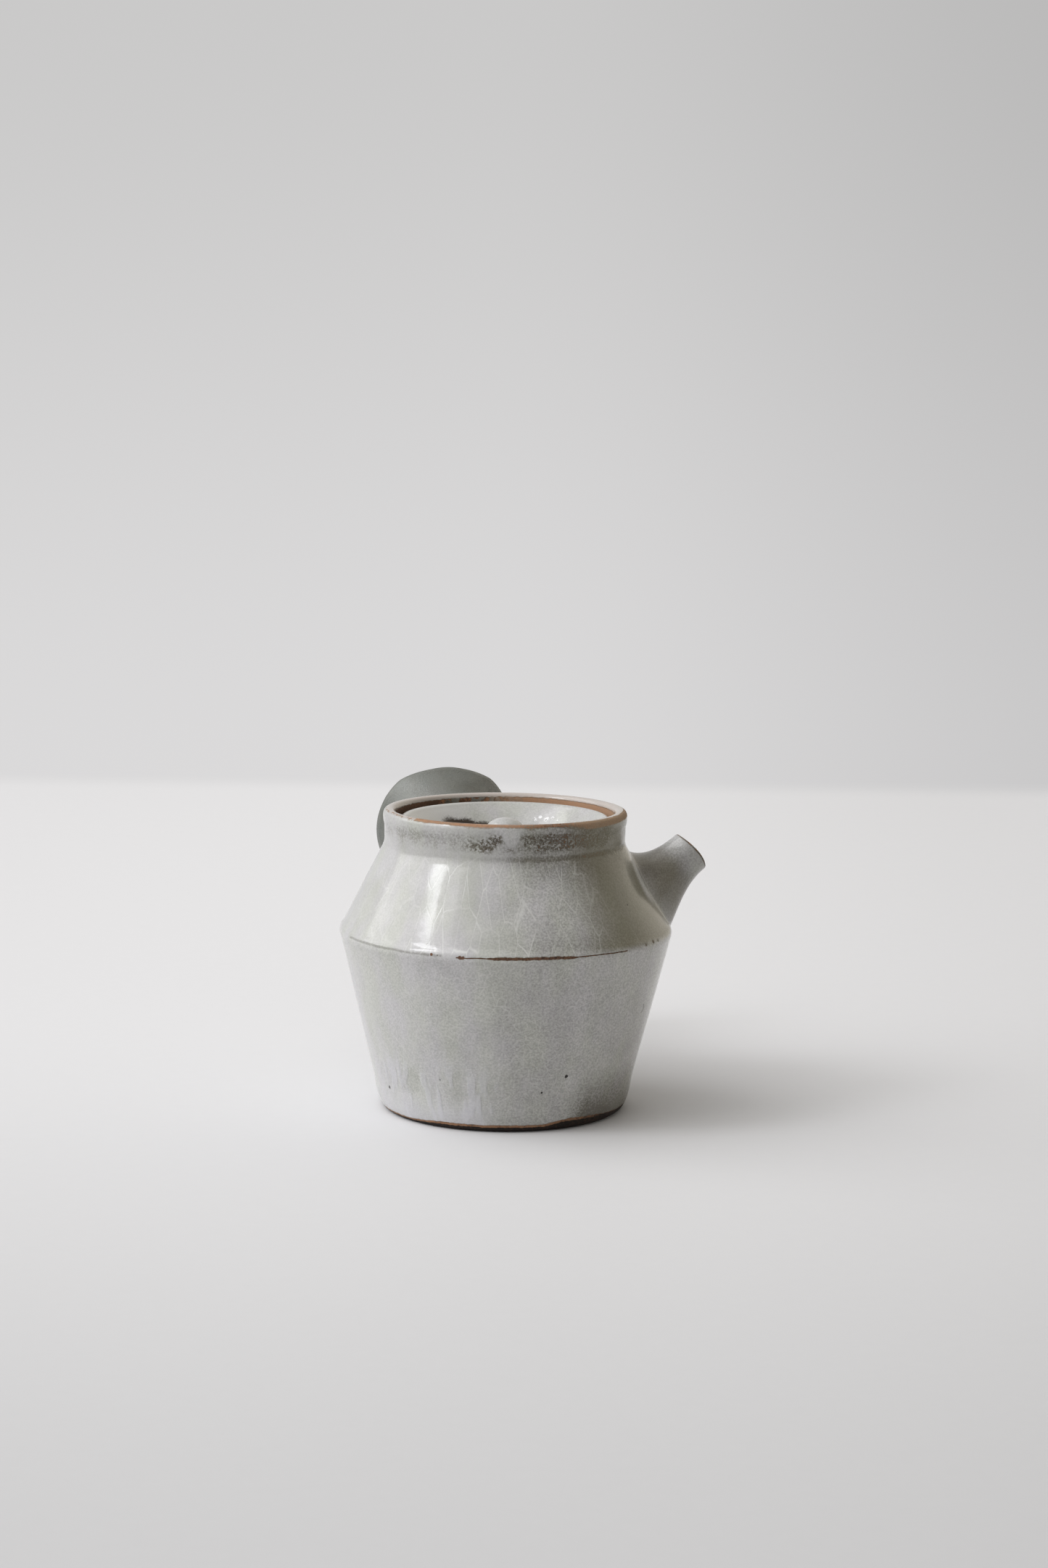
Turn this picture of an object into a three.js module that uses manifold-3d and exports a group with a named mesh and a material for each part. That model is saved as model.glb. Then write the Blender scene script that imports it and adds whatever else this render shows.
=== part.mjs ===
// A kyusu: a small side-handled teapot, thrown in stoneware, with a sunken drop-in lid.
// Millimetres, +Z up. The origin is the centre of the flat base.
// The spout points along +X and the handle along +Y, a quarter turn apart.
import * as THREE from "three";
import { mergeVertices } from "three/addons/utils/BufferGeometryUtils.js";
import Module from "manifold-3d";

const wasm = await Module();
wasm.setup();

// Body: a cone that opens upwards, a sharp shoulder, a cone that closes, and a short collar.
const BASE_RADIUS = 29.3;
const FOOT_RADIUS = 34.2;
const FOOT_HEIGHT = 8.6;
const SHOULDER_RADIUS = 44;
const SHOULDER_HEIGHT = 47.8;
const COLLAR_RADIUS = 31.6;
const COLLAR_BOTTOM = 70.8;
const LIP_BULGE = 0.45;
const RIM_RADIUS = 30.4;
const RIM_HEIGHT = 79.4;
const MOUTH_RADIUS = 28.9;
const WALL = 3.2;
const FLOOR = 4;

// Gallery: the ledge inside the collar that carries the lid.
const LEDGE_HEIGHT = 74.3;
const THROAT_RADIUS = 25.2;

// Lid: a dish that drops inside the rim, with a knob standing on its floor.
const LID_RADIUS = 27.3;
const LID_EDGE = 3;
const DISH_DEPTH = 3.9;
const DISH_FLOOR_RADIUS = 15;
const LID_THICKNESS = 3.2;
const VENT_RADIUS = 1.5;
const VENT_PLACE = 20.5;
const KNOB_RADIUS = 5.3;
const KNOB_HEIGHT = 6.6;
const KNOB_STEM = 3.5;

// Spout: a short flared cone that rises from the upper wall.
const SPOUT_REACH = 50.6;
const SPOUT_MOUTH_HEIGHT = 67.15;
const SPOUT_TILT = THREE.MathUtils.degToRad(39);
const SPOUT_MOUTH_RADIUS = 5.8;
const SPOUT_LIP = 1.3;
const SPOUT_FOOT_MIDDLE = 58.4;
const SPOUT_FOOT_HALF_WIDTH = 12;
const SPOUT_FOOT_HALF_LENGTH = 11.6;
const SPOUT_FOOT_DROP = 1.6;
const SPOUT_HEEL_HALF_WIDTH = 8.2;
const SPOUT_HEEL_HALF_LENGTH = 7.8;
const SPOUT_HEEL_LIFT = 2.6;
const SPOUT_CHIN_LIFT = 5;
const SPOUT_BORE_RADIUS = 8;
const SPOUT_NECK = 6.5;

// Strainer: a pierced dome inside the wall, over the spout's hole.
const STRAINER_RADIUS = 11.6;
const STRAINER_WALL = 1.8;
const STRAINER_RISE = 8;
const SIEVE_HOLE_RADIUS = 1;
const SIEVE_STEP = THREE.MathUtils.degToRad(15);
const SIEVE_RINGS = 3;

// Handle: a hollow trumpet whose axis crosses the pot's axis.
const HANDLE_TILT = THREE.MathUtils.degToRad(10);
const HANDLE_AXIS_HEIGHT = 45;
const HANDLE_REACH = 89.6;
const HANDLE_WAIST_RADIUS = 10.2;
const HANDLE_BELL_RADIUS = 19.5;
const HANDLE_ROOT_RADIUS = 12.8;
const HANDLE_WALL = 3.2;
const HANDLE_WAIST_REACH = 53;
const HANDLE_TAPER_REACH = 68;
const HANDLE_FLARE_REACH = 79.5;
const HANDLE_FLARE_RADIUS = 14;

// A piece that is cut to its neighbour's shape stays this far from it.
const SEAT_GAP = 0.3;

const BODY_SIDES = 60;
const LID_SIDES = 56;
const KNOB_SIDES = 28;
const SPOUT_SIDES = 32;
const HANDLE_SIDES = 40;
const HOLE_SIDES = 6;
const CURVE_STEPS = 3;
const LID_CURVE_STEPS = 4;

const glaze = new THREE.MeshStandardMaterial({ color: 0x9d9c97, roughness: 0.22, metalness: 0 });
const shadedGlaze = new THREE.MeshStandardMaterial({ color: 0x84837c, roughness: 0.25, metalness: 0 });
const bareClay = new THREE.MeshStandardMaterial({ color: 0x8a5a3c, roughness: 0.8, metalness: 0 });

// Turns a closed geometry into a solid, leaving out the collapsed triangles at its poles.
function solidOf(geometry) {
  geometry.deleteAttribute("normal");
  geometry.deleteAttribute("uv");
  const merged = mergeVertices(geometry, 1e-4);
  const corners = merged.index.array;
  const kept = [];
  for (let i = 0; i < corners.length; i += 3) {
    const [a, b, c] = [corners[i], corners[i + 1], corners[i + 2]];
    if (a !== b && b !== c && c !== a) kept.push(a, b, c);
  }
  const vertProperties = merged.attributes.position.array;
  const triVerts = new Uint32Array(kept);
  return new wasm.Manifold(new wasm.Mesh({ numProp: 3, vertProperties, triVerts }));
}

// Makes a named mesh from a solid.
function meshOf(name, solid, material) {
  const { vertProperties, triVerts } = solid.getMesh();
  const geometry = new THREE.BufferGeometry();
  geometry.setAttribute("position", new THREE.BufferAttribute(new Float32Array(vertProperties), 3));
  geometry.setIndex(new THREE.BufferAttribute(new Uint32Array(triVerts), 1));
  geometry.computeVertexNormals();
  const mesh = new THREE.Mesh(geometry, material);
  mesh.name = name;
  return mesh;
}

// Turns an outline of radius and height about the Z axis.
function turned(outline, sides) {
  const geometry = new THREE.LatheGeometry(outline, sides);
  geometry.rotateX(Math.PI / 2);
  return solidOf(geometry);
}

// Joins rings of points into a closed skin whose last ring meets its first.
function lofted(rings) {
  const sides = rings[0].length;
  const positions = rings.flat().flatMap((point) => point.toArray());
  const index = [];
  for (let i = 0; i < rings.length; i += 1) {
    const next = (i + 1) % rings.length;
    for (let j = 0; j < sides; j += 1) {
      const beside = (j + 1) % sides;
      const [a, b] = [i * sides + j, i * sides + beside];
      const [c, d] = [next * sides + beside, next * sides + j];
      index.push(a, c, b, a, d, c);
    }
  }
  const geometry = new THREE.BufferGeometry();
  geometry.setAttribute("position", new THREE.Float32BufferAttribute(positions, 3));
  geometry.setIndex(index);
  return solidOf(geometry);
}

// The body's outside, from the edge of the base to the crown of the rim.
function outsidePath() {
  const path = new THREE.Path();
  path.moveTo(BASE_RADIUS, 0);
  path.lineTo(BASE_RADIUS + 1.7, 1.15);
  path.bezierCurveTo(BASE_RADIUS + 3.4, 2.4, FOOT_RADIUS - 0.6, 5, FOOT_RADIUS, FOOT_HEIGHT);
  path.lineTo(SHOULDER_RADIUS - 0.5, SHOULDER_HEIGHT - 1.9);
  const [ridge, above] = [SHOULDER_RADIUS + 0.3, SHOULDER_HEIGHT + 1.6];
  path.quadraticCurveTo(ridge, SHOULDER_HEIGHT + 0.1, SHOULDER_RADIUS - 1.2, above);
  path.lineTo(COLLAR_RADIUS + 1.1, COLLAR_BOTTOM - 2.4);
  path.quadraticCurveTo(COLLAR_RADIUS, COLLAR_BOTTOM - 0.6, COLLAR_RADIUS, COLLAR_BOTTOM + 0.8);
  path.lineTo(COLLAR_RADIUS + 0.1, RIM_HEIGHT - 4);
  const bulge = COLLAR_RADIUS + LIP_BULGE;
  path.quadraticCurveTo(bulge, RIM_HEIGHT - 3, bulge, RIM_HEIGHT - 1.9);
  path.quadraticCurveTo(COLLAR_RADIUS + 0.5, RIM_HEIGHT, RIM_RADIUS, RIM_HEIGHT);
  return path;
}

// The chamber's outline, from the underside of the gallery down to the floor.
function chamberPath() {
  const path = new THREE.Path();
  path.moveTo(THROAT_RADIUS, LEDGE_HEIGHT - 1.2);
  path.quadraticCurveTo(THROAT_RADIUS, COLLAR_BOTTOM - 0.8, THROAT_RADIUS + 3.2, COLLAR_BOTTOM - 2.4);
  const [widest, corner] = [SHOULDER_RADIUS - WALL, FOOT_RADIUS - WALL];
  path.lineTo(widest - 0.8, SHOULDER_HEIGHT + 0.6);
  path.quadraticCurveTo(widest, SHOULDER_HEIGHT - 1, widest - 0.5, SHOULDER_HEIGHT - 2.6);
  path.lineTo(corner + 0.4, FOOT_HEIGHT + 2);
  path.quadraticCurveTo(corner - 1, FLOOR, corner - 8, FLOOR);
  return path;
}

// An outline's points, with a radius change that grows or shrinks the form.
function outlineOf(path, change = 0, steps = CURVE_STEPS) {
  return path.getPoints(steps).map((point) => new THREE.Vector2(point.x + change, point.y));
}

// The whole outside as a solid, grown by the seat gap, which trims what is luted onto it.
function outsideEnvelope() {
  const wall = outlineOf(outsidePath(), SEAT_GAP * 1.13);
  const foot = new THREE.Vector2(0, 0);
  const crown = new THREE.Vector2(0, RIM_HEIGHT);
  return turned([foot, ...wall, crown], BODY_SIDES);
}

// The chamber as a solid, shrunk by the seat gap, which trims the strainer to the wall.
function chamberSpace() {
  const wall = outlineOf(chamberPath(), -SEAT_GAP * 1.13).reverse();
  const floor = new THREE.Vector2(0, FLOOR);
  const top = new THREE.Vector2(0, LEDGE_HEIGHT - 1.2);
  return turned([floor, ...wall, top], BODY_SIDES);
}

// The radius of the body's outside at a height, read from its own outline.
const outsidePoints = outlineOf(outsidePath());
function outsideRadius(height) {
  for (let i = 1; i < outsidePoints.length; i += 1) {
    const [low, high] = [outsidePoints[i - 1], outsidePoints[i]];
    if (height <= high.y) {
      return THREE.MathUtils.mapLinear(height, low.y, high.y, low.x, high.x);
    }
  }
  return RIM_RADIUS;
}

// Slides a point back along a direction until it meets the body's outside.
function seatOn(point, direction) {
  let [inside, outside] = [-40, 40];
  for (let i = 0; i < 40; i += 1) {
    const middle = (inside + outside) / 2;
    const tried = point.clone().addScaledVector(direction, middle);
    if (Math.hypot(tried.x, tried.y) < outsideRadius(tried.z)) inside = middle;
    else outside = middle;
  }
  return point.clone().addScaledVector(direction, inside);
}

// A ring of points, each given by its angle.
function ringOf(sides, pointAt) {
  return Array.from({ length: sides }, (_, i) => pointAt((2 * Math.PI * i) / sides));
}

// Rings from curves: one curve for each angle, cut at equal steps.
function ringsAlong(sides, steps, curveAt) {
  const curves = ringOf(sides, curveAt);
  return Array.from({ length: steps + 1 }, (_, k) => curves.map((curve) => curve.getPoint(k / steps)));
}

// The axis, the sideways direction and the upward direction of a branch in a vertical plane.
function branchFrame(azimuth, tilt) {
  const flat = new THREE.Vector3(Math.cos(azimuth), Math.sin(azimuth), 0);
  const up = new THREE.Vector3(0, 0, 1);
  const axis = flat.clone().multiplyScalar(Math.cos(tilt)).addScaledVector(up, Math.sin(tilt));
  const rise = flat.clone().multiplyScalar(-Math.sin(tilt)).addScaledVector(up, Math.cos(tilt));
  const side = new THREE.Vector3().crossVectors(rise, axis);
  return { axis, rise, side };
}

// A point of a branch at an angle about its axis.
function around(frame, centre, angle, across, along) {
  return centre
    .clone()
    .addScaledVector(frame.side, across * Math.cos(angle))
    .addScaledVector(frame.rise, along * Math.sin(angle));
}

// The upper wall's slope and the direction in which the spout is luted to it.
const wallTilt = Math.atan2(SHOULDER_RADIUS - COLLAR_RADIUS - 1, COLLAR_BOTTOM - SHOULDER_HEIGHT);
const wallFrame = branchFrame(0, wallTilt);
const spoutFrame = branchFrame(0, SPOUT_TILT);
const handleFrame = branchFrame(Math.PI / 2, HANDLE_TILT);
const spoutSeat = new THREE.Vector3(outsideRadius(SPOUT_FOOT_MIDDLE), 0, SPOUT_FOOT_MIDDLE);
const spoutMouth = new THREE.Vector3(SPOUT_REACH, 0, SPOUT_MOUTH_HEIGHT);

// A round cutter along an axis, for holes.
function cylinderAlong(axis, centre, radius, length, sides) {
  const geometry = new THREE.CylinderGeometry(radius, radius, length, sides);
  const turn = new THREE.Quaternion().setFromUnitVectors(new THREE.Vector3(0, 1, 0), axis);
  geometry.applyQuaternion(turn);
  geometry.translate(centre.x, centre.y, centre.z);
  return solidOf(geometry);
}

// The thrown body with its gallery, pierced where the spout leaves.
function makeBody() {
  const inner = new THREE.Path();
  inner.moveTo(RIM_RADIUS, RIM_HEIGHT);
  inner.quadraticCurveTo(MOUTH_RADIUS + 0.1, RIM_HEIGHT, MOUTH_RADIUS, RIM_HEIGHT - 1.3);
  inner.lineTo(MOUTH_RADIUS - 0.2, LEDGE_HEIGHT);
  inner.lineTo(THROAT_RADIUS + 0.4, LEDGE_HEIGHT);
  inner.quadraticCurveTo(THROAT_RADIUS, LEDGE_HEIGHT, THROAT_RADIUS, LEDGE_HEIGHT - 0.5);
  const base = new THREE.Vector2(0, 0);
  const floor = new THREE.Vector2(0, FLOOR);
  const inside = [...outlineOf(inner).slice(1), ...outlineOf(chamberPath())];
  const wallCut = cylinderAlong(wallFrame.axis, spoutSeat, SPOUT_BORE_RADIUS, 6 * WALL, SPOUT_SIDES);
  return turned([base, ...outsidePoints, ...inside, floor], BODY_SIDES).subtract(wallCut);
}

// The spout: curves run from the round mouth to an oval foot on the upper wall.
function makeSpout() {
  const lipBack = spoutMouth.clone().addScaledVector(spoutFrame.axis, -0.7);
  const outer = (angle) => {
    const [up, chin] = [Math.sin(angle), Math.max(0, -Math.sin(angle)) ** 2];
    const mouth = around(spoutFrame, lipBack, angle, SPOUT_MOUTH_RADIUS, SPOUT_MOUTH_RADIUS);
    const neck = mouth.clone().addScaledVector(spoutFrame.axis, -SPOUT_NECK);
    const heelLength = SPOUT_HEEL_HALF_LENGTH - up;
    const heel = around(wallFrame, spoutSeat, angle, SPOUT_HEEL_HALF_WIDTH, heelLength);
    heel.addScaledVector(wallFrame.axis, SPOUT_HEEL_LIFT + SPOUT_CHIN_LIFT * chin);
    const footLength = SPOUT_FOOT_HALF_LENGTH - SPOUT_FOOT_DROP * up;
    const foot = around(wallFrame, spoutSeat, angle, SPOUT_FOOT_HALF_WIDTH, footLength);
    const seat = seatOn(foot, wallFrame.axis).addScaledVector(wallFrame.axis, -0.6);
    return new THREE.CubicBezierCurve3(mouth, neck, heel, seat);
  };
  const bore = (angle) => {
    const wall = around(wallFrame, spoutSeat, angle, SPOUT_BORE_RADIUS, SPOUT_BORE_RADIUS);
    const deep = seatOn(wall, wallFrame.axis).addScaledVector(wallFrame.axis, -1.5);
    const inner = SPOUT_MOUTH_RADIUS - SPOUT_LIP;
    const mouth = around(spoutFrame, lipBack, angle, inner, inner);
    const neck = mouth.clone().addScaledVector(spoutFrame.axis, -SPOUT_NECK);
    const heel = deep.clone().addScaledVector(wallFrame.axis, 4);
    return new THREE.CubicBezierCurve3(deep, heel, neck, mouth);
  };
  const crown = SPOUT_MOUTH_RADIUS - SPOUT_LIP / 2;
  const lip = ringOf(SPOUT_SIDES, (angle) => around(spoutFrame, spoutMouth, angle, crown, crown));
  const rings = [...ringsAlong(SPOUT_SIDES, 9, outer), ...ringsAlong(SPOUT_SIDES, 5, bore), lip];
  return lofted(rings).subtract(outsideEnvelope());
}

// The strainer: a dome cut to the chamber's wall, pierced ring by ring.
function makeStrainer() {
  const inward = wallFrame.axis.clone().negate();
  const apex = spoutSeat.clone().addScaledVector(inward, WALL + STRAINER_RISE);
  const centre = apex.clone().addScaledVector(inward, -STRAINER_RADIUS);
  const ball = (radius) => {
    const geometry = new THREE.SphereGeometry(radius, 24, 14);
    geometry.translate(centre.x, centre.y, centre.z);
    return solidOf(geometry);
  };
  const shell = ball(STRAINER_RADIUS).subtract(ball(STRAINER_RADIUS - STRAINER_WALL));
  let dome = shell.intersect(chamberSpace());
  const pierce = (direction) => {
    const middle = centre.clone().addScaledVector(direction, STRAINER_RADIUS - STRAINER_WALL / 2);
    const cutter = cylinderAlong(direction, middle, SIEVE_HOLE_RADIUS, 3 * STRAINER_WALL, HOLE_SIDES);
    dome = dome.subtract(cutter);
  };
  pierce(inward);
  for (let ring = 1; ring <= SIEVE_RINGS; ring += 1) {
    const holes = 6 * ring;
    const spread = ring * SIEVE_STEP;
    for (let i = 0; i < holes; i += 1) {
      const turn = (2 * Math.PI * (i + ring / 2)) / holes;
      const direction = around(wallFrame, new THREE.Vector3(), turn, Math.sin(spread), Math.sin(spread));
      pierce(direction.addScaledVector(inward, Math.cos(spread)));
    }
  }
  return dome;
}

// The handle: a hollow trumpet, widest at its open end, flared again where it is luted on.
function makeHandle() {
  const start = new THREE.Vector3(0, 0, HANDLE_AXIS_HEIGHT);
  const at = (angle, radius, reach) =>
    around(handleFrame, start.clone().addScaledVector(handleFrame.axis, reach), angle, radius, radius);
  const rootAt = (angle, radius, lift) =>
    seatOn(at(angle, radius, HANDLE_WAIST_REACH), handleFrame.axis).addScaledVector(handleFrame.axis, lift);
  const bellEnd = HANDLE_REACH - 1.2;
  const boreEnd = HANDLE_BELL_RADIUS - HANDLE_WALL;
  const boreWaist = HANDLE_WAIST_RADIUS - HANDLE_WALL;
  const bell = (angle) =>
    new THREE.CubicBezierCurve3(
      at(angle, HANDLE_BELL_RADIUS, bellEnd),
      at(angle, HANDLE_FLARE_RADIUS, HANDLE_FLARE_REACH),
      at(angle, HANDLE_WAIST_RADIUS, HANDLE_TAPER_REACH),
      at(angle, HANDLE_WAIST_RADIUS, HANDLE_WAIST_REACH),
    );
  const root = (angle) =>
    new THREE.CubicBezierCurve3(
      at(angle, HANDLE_WAIST_RADIUS, HANDLE_WAIST_REACH),
      rootAt(angle, HANDLE_WAIST_RADIUS, 3.5),
      rootAt(angle, HANDLE_WAIST_RADIUS + 0.3, 1),
      rootAt(angle, HANDLE_ROOT_RADIUS, -0.6),
    );
  const bore = (angle) =>
    new THREE.CubicBezierCurve3(
      rootAt(angle, boreWaist, -1.5),
      at(angle, boreWaist, HANDLE_TAPER_REACH),
      at(angle, HANDLE_FLARE_RADIUS - HANDLE_WALL, HANDLE_FLARE_REACH),
      at(angle, boreEnd, bellEnd),
    );
  const lip = (angle) =>
    new THREE.CubicBezierCurve3(
      at(angle, boreEnd, bellEnd),
      at(angle, boreEnd + 0.2, HANDLE_REACH + 0.4),
      at(angle, HANDLE_BELL_RADIUS - 0.2, HANDLE_REACH + 0.4),
      at(angle, HANDLE_BELL_RADIUS, bellEnd),
    );
  const rings = [
    ...ringsAlong(HANDLE_SIDES, 7, bell),
    ...ringsAlong(HANDLE_SIDES, 5, root).slice(1),
    ...ringsAlong(HANDLE_SIDES, 7, bore),
    ...ringsAlong(HANDLE_SIDES, 4, lip).slice(1, -1),
  ];
  return lofted(rings).subtract(outsideEnvelope());
}

// The lid, from the underside of its flange, which rests on the gallery at height 0.
function makeLid() {
  const underside = -DISH_DEPTH - LID_THICKNESS;
  const edge = new THREE.Path();
  edge.moveTo(DISH_FLOOR_RADIUS - 0.5, underside);
  edge.bezierCurveTo(DISH_FLOOR_RADIUS + 3, underside, THROAT_RADIUS - 3, -2.2, THROAT_RADIUS - 0.7, 0);
  edge.lineTo(LID_RADIUS - 0.4, 0);
  edge.lineTo(LID_RADIUS, 0.5);
  edge.lineTo(LID_RADIUS, LID_EDGE - 0.7);
  edge.quadraticCurveTo(LID_RADIUS, LID_EDGE, LID_RADIUS - 0.8, LID_EDGE + 0.1);
  edge.quadraticCurveTo(LID_RADIUS - 1.5, LID_EDGE + 0.1, LID_RADIUS - 2.3, LID_EDGE - 0.7);
  const slope = DISH_FLOOR_RADIUS + 4;
  edge.bezierCurveTo(LID_RADIUS - 6, -0.4, slope, -DISH_DEPTH, DISH_FLOOR_RADIUS, -DISH_DEPTH);
  const bottom = new THREE.Vector2(0, underside);
  const floor = new THREE.Vector2(0, -DISH_DEPTH);
  const dish = turned([bottom, ...outlineOf(edge, 0, LID_CURVE_STEPS), floor], LID_SIDES);
  const upright = new THREE.Vector3(0, 0, 1);
  const ventCentre = new THREE.Vector3(0, -VENT_PLACE, -DISH_DEPTH / 2);
  return dish.subtract(cylinderAlong(upright, ventCentre, VENT_RADIUS, 16, 12));
}

// The knob: a small round button on a short stem.
function makeKnob() {
  const path = new THREE.Path();
  path.moveTo(KNOB_STEM + 0.6, 0);
  path.quadraticCurveTo(KNOB_STEM - 0.1, 0.4, KNOB_STEM + 0.2, 1.3);
  path.quadraticCurveTo(KNOB_RADIUS, 1.5, KNOB_RADIUS, 2.9);
  path.bezierCurveTo(KNOB_RADIUS, 4.9, KNOB_RADIUS * 0.55, KNOB_HEIGHT, 0, KNOB_HEIGHT);
  return turned([new THREE.Vector2(0, 0), ...outlineOf(path, 0, LID_CURVE_STEPS)], KNOB_SIDES);
}

const pot = new THREE.Group();
pot.add(meshOf("body", makeBody(), glaze));
pot.add(meshOf("spout", makeSpout(), glaze));
pot.add(meshOf("strainer", makeStrainer(), bareClay));
pot.add(meshOf("handle", makeHandle(), shadedGlaze));

const lidGroup = new THREE.Group();
lidGroup.position.z = LEDGE_HEIGHT;
lidGroup.add(meshOf("lid", makeLid(), shadedGlaze));
const knob = meshOf("knob", makeKnob(), shadedGlaze);
knob.position.z = -DISH_DEPTH;
lidGroup.add(knob);

const teapot = new THREE.Group();
teapot.add(pot, lidGroup);
export default teapot;
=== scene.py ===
"""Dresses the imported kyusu, a small side-handled teapot in crackle-glazed stoneware.

Each piece is thrown, pulled or pierced over the solid that it stands for, in the same
frame. Sizes are in millimetres in the classes, and become metres when a shape is made.
A finish's azimuths are in degrees about the pot's axis, from the spout's side.
"""

import logging
import math
from dataclasses import dataclass
from enum import Enum
from functools import cache, cached_property
from typing import Callable, ClassVar, Optional, Sequence, Union

import bmesh
import bpy
from mathutils import Matrix, Vector, noise
from mathutils.geometry import interpolate_bezier


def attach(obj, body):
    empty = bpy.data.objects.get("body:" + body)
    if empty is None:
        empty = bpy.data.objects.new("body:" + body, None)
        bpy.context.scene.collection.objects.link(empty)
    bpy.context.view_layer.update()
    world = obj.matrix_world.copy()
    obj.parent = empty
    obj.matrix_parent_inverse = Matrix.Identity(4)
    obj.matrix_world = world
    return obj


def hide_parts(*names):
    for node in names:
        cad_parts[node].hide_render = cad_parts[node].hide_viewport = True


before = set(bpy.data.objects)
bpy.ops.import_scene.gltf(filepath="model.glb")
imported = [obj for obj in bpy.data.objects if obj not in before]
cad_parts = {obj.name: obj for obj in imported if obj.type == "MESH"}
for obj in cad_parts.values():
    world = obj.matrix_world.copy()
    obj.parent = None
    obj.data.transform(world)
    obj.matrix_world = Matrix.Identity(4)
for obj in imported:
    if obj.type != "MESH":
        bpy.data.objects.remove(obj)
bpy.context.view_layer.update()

log = logging.getLogger("kyusu")

Colour = tuple[float, float, float]
Place = tuple[float, float, float]
Ring = Callable[[float], Vector]
Shape = bmesh.types.BMesh
Thing = bpy.types.Object
Material = bpy.types.Material
Tree = bpy.types.NodeTree
Wire = bpy.types.NodeSocket
Feed = Union["Level", Wire, float, Sequence[float]]

MM = 0.001
ORIGIN: Place = (0.0, 0.0, 0.0)
WHITE: Colour = (1.0, 1.0, 1.0)
UP = Vector((0.0, 0.0, 1.0)).freeze()
NUMBER = "NodeSocketFloat"
MASK = {"mask": NUMBER}


class Body(Enum):
    """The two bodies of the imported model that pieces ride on."""

    POT = "pot"
    COVER = "cover"


class Slot(Enum):
    """The record's material slots."""

    GLAZE = "glaze"
    BARE_CLAY = "bare_clay"


class Tint(Enum):
    """The colours of thin skins, cracks and holes in the glaze, and of painted light, shade and glints."""

    THIN_SIDE_AND_SHADE = (0.200, 0.185, 0.125)
    MILK = (0.64, 0.635, 0.67)
    RUN = (0.58, 0.575, 0.62)
    RIM_SKIN = (0.54, 0.47, 0.43)
    TAN_CLAY_AND_LIGHT = (0.47, 0.29, 0.18)
    RUST = (0.45, 0.25, 0.14)
    SPOUT_OLIVE_AND_SHADE = (0.170, 0.150, 0.108)
    HANDLE_COOL = (0.138, 0.150, 0.140)
    LID_PAINTED_LIGHT = (0.60, 0.595, 0.58)
    LID_PAINTED_SHADE = (0.048, 0.037, 0.029)
    PAINTED_GLINT = (0.86, 0.86, 0.87)
    PINHOLE = (0.012, 0.008, 0.006)
    CRACK = (0.64, 0.64, 0.62)


# Shapes


class Rib:
    """A potter's rib: the outline of radius and height that a wall is thrown to."""

    def __init__(self, radius: float, height: float) -> None:
        """Starts the outline at a radius and a height."""
        self.points: list[Vector] = [Vector((radius, 0.0, height))]

    def straight(self, radius: float, height: float, steps: int = 1) -> None:
        """Runs straight to a point.

        Args:
            radius: The radius at the end.
            height: The height at the end.
            steps: How many equal pieces the line is cut into.
        """
        start = self.points[-1].copy()
        end = Vector((radius, 0.0, height))
        self.points += [start.lerp(end, step / steps) for step in range(1, steps + 1)]

    def sweep(self, *points: tuple[float, float], steps: int = 12) -> None:
        """Runs along a curve.

        Args:
            *points: The radius and height of two points that pull it, and of its end.
            steps: How many pieces the curve is cut into.
        """
        pulls = [Vector((radius, 0.0, height)) for radius, height in points]
        self.points += interpolate_bezier(self.points[-1].copy(), *pulls, steps + 1)[1:]

    def bend(self, corner: tuple[float, float], end: tuple[float, float], steps: int = 6) -> None:
        """Runs along a curve that is pulled towards one corner.

        Args:
            corner: The radius and height of the corner.
            end: The radius and height where the curve ends.
            steps: How many pieces the curve is cut into.
        """
        start = self.points[-1]
        first = (start.x + (corner[0] - start.x) * 2 / 3, start.z + (corner[1] - start.z) * 2 / 3)
        second = (end[0] + (corner[0] - end[0]) * 2 / 3, end[1] + (corner[1] - end[1]) * 2 / 3)
        self.sweep(first, second, end, steps=steps)

    def radius_at(self, height: float) -> float:
        """The radius of the outline at a height, on its first rise through it.

        Args:
            height: The height.

        Returns:
            The radius, or that of the last point where the outline doesn't reach the height.
        """
        for low, high in zip(self.points, self.points[1:]):
            if low.z <= height <= high.z and high.z > low.z:
                return low.x + (high.x - low.x) * (height - low.z) / (high.z - low.z)
        return self.points[-1].x


class Branch:
    """The axis, rise and side directions of a form that leaves the pot's wall."""

    def __init__(self, azimuth: float, tilt: float) -> None:
        """Sets the directions.

        Args:
            azimuth: Where the branch points, in radians.
            tilt: How far it points up, in radians.
        """
        flat = Vector((math.cos(azimuth), math.sin(azimuth), 0.0))
        self.axis = flat * math.cos(tilt) + UP * math.sin(tilt)
        self.rise = UP * math.cos(tilt) - flat * math.sin(tilt)
        self.side = self.rise.cross(self.axis)

    def around(self, centre: Vector, angle: float, across: float, along: float) -> Vector:
        """A point of an oval about the axis, by its angle from the side and its half sizes."""
        return centre + self.side * (across * math.cos(angle)) + self.rise * (along * math.sin(angle))

    def circle(self, centre: Vector, angle: float, radius: float) -> Vector:
        """A point of a circle about the axis, by its angle from the side."""
        return self.around(centre, angle, radius, radius)


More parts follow.
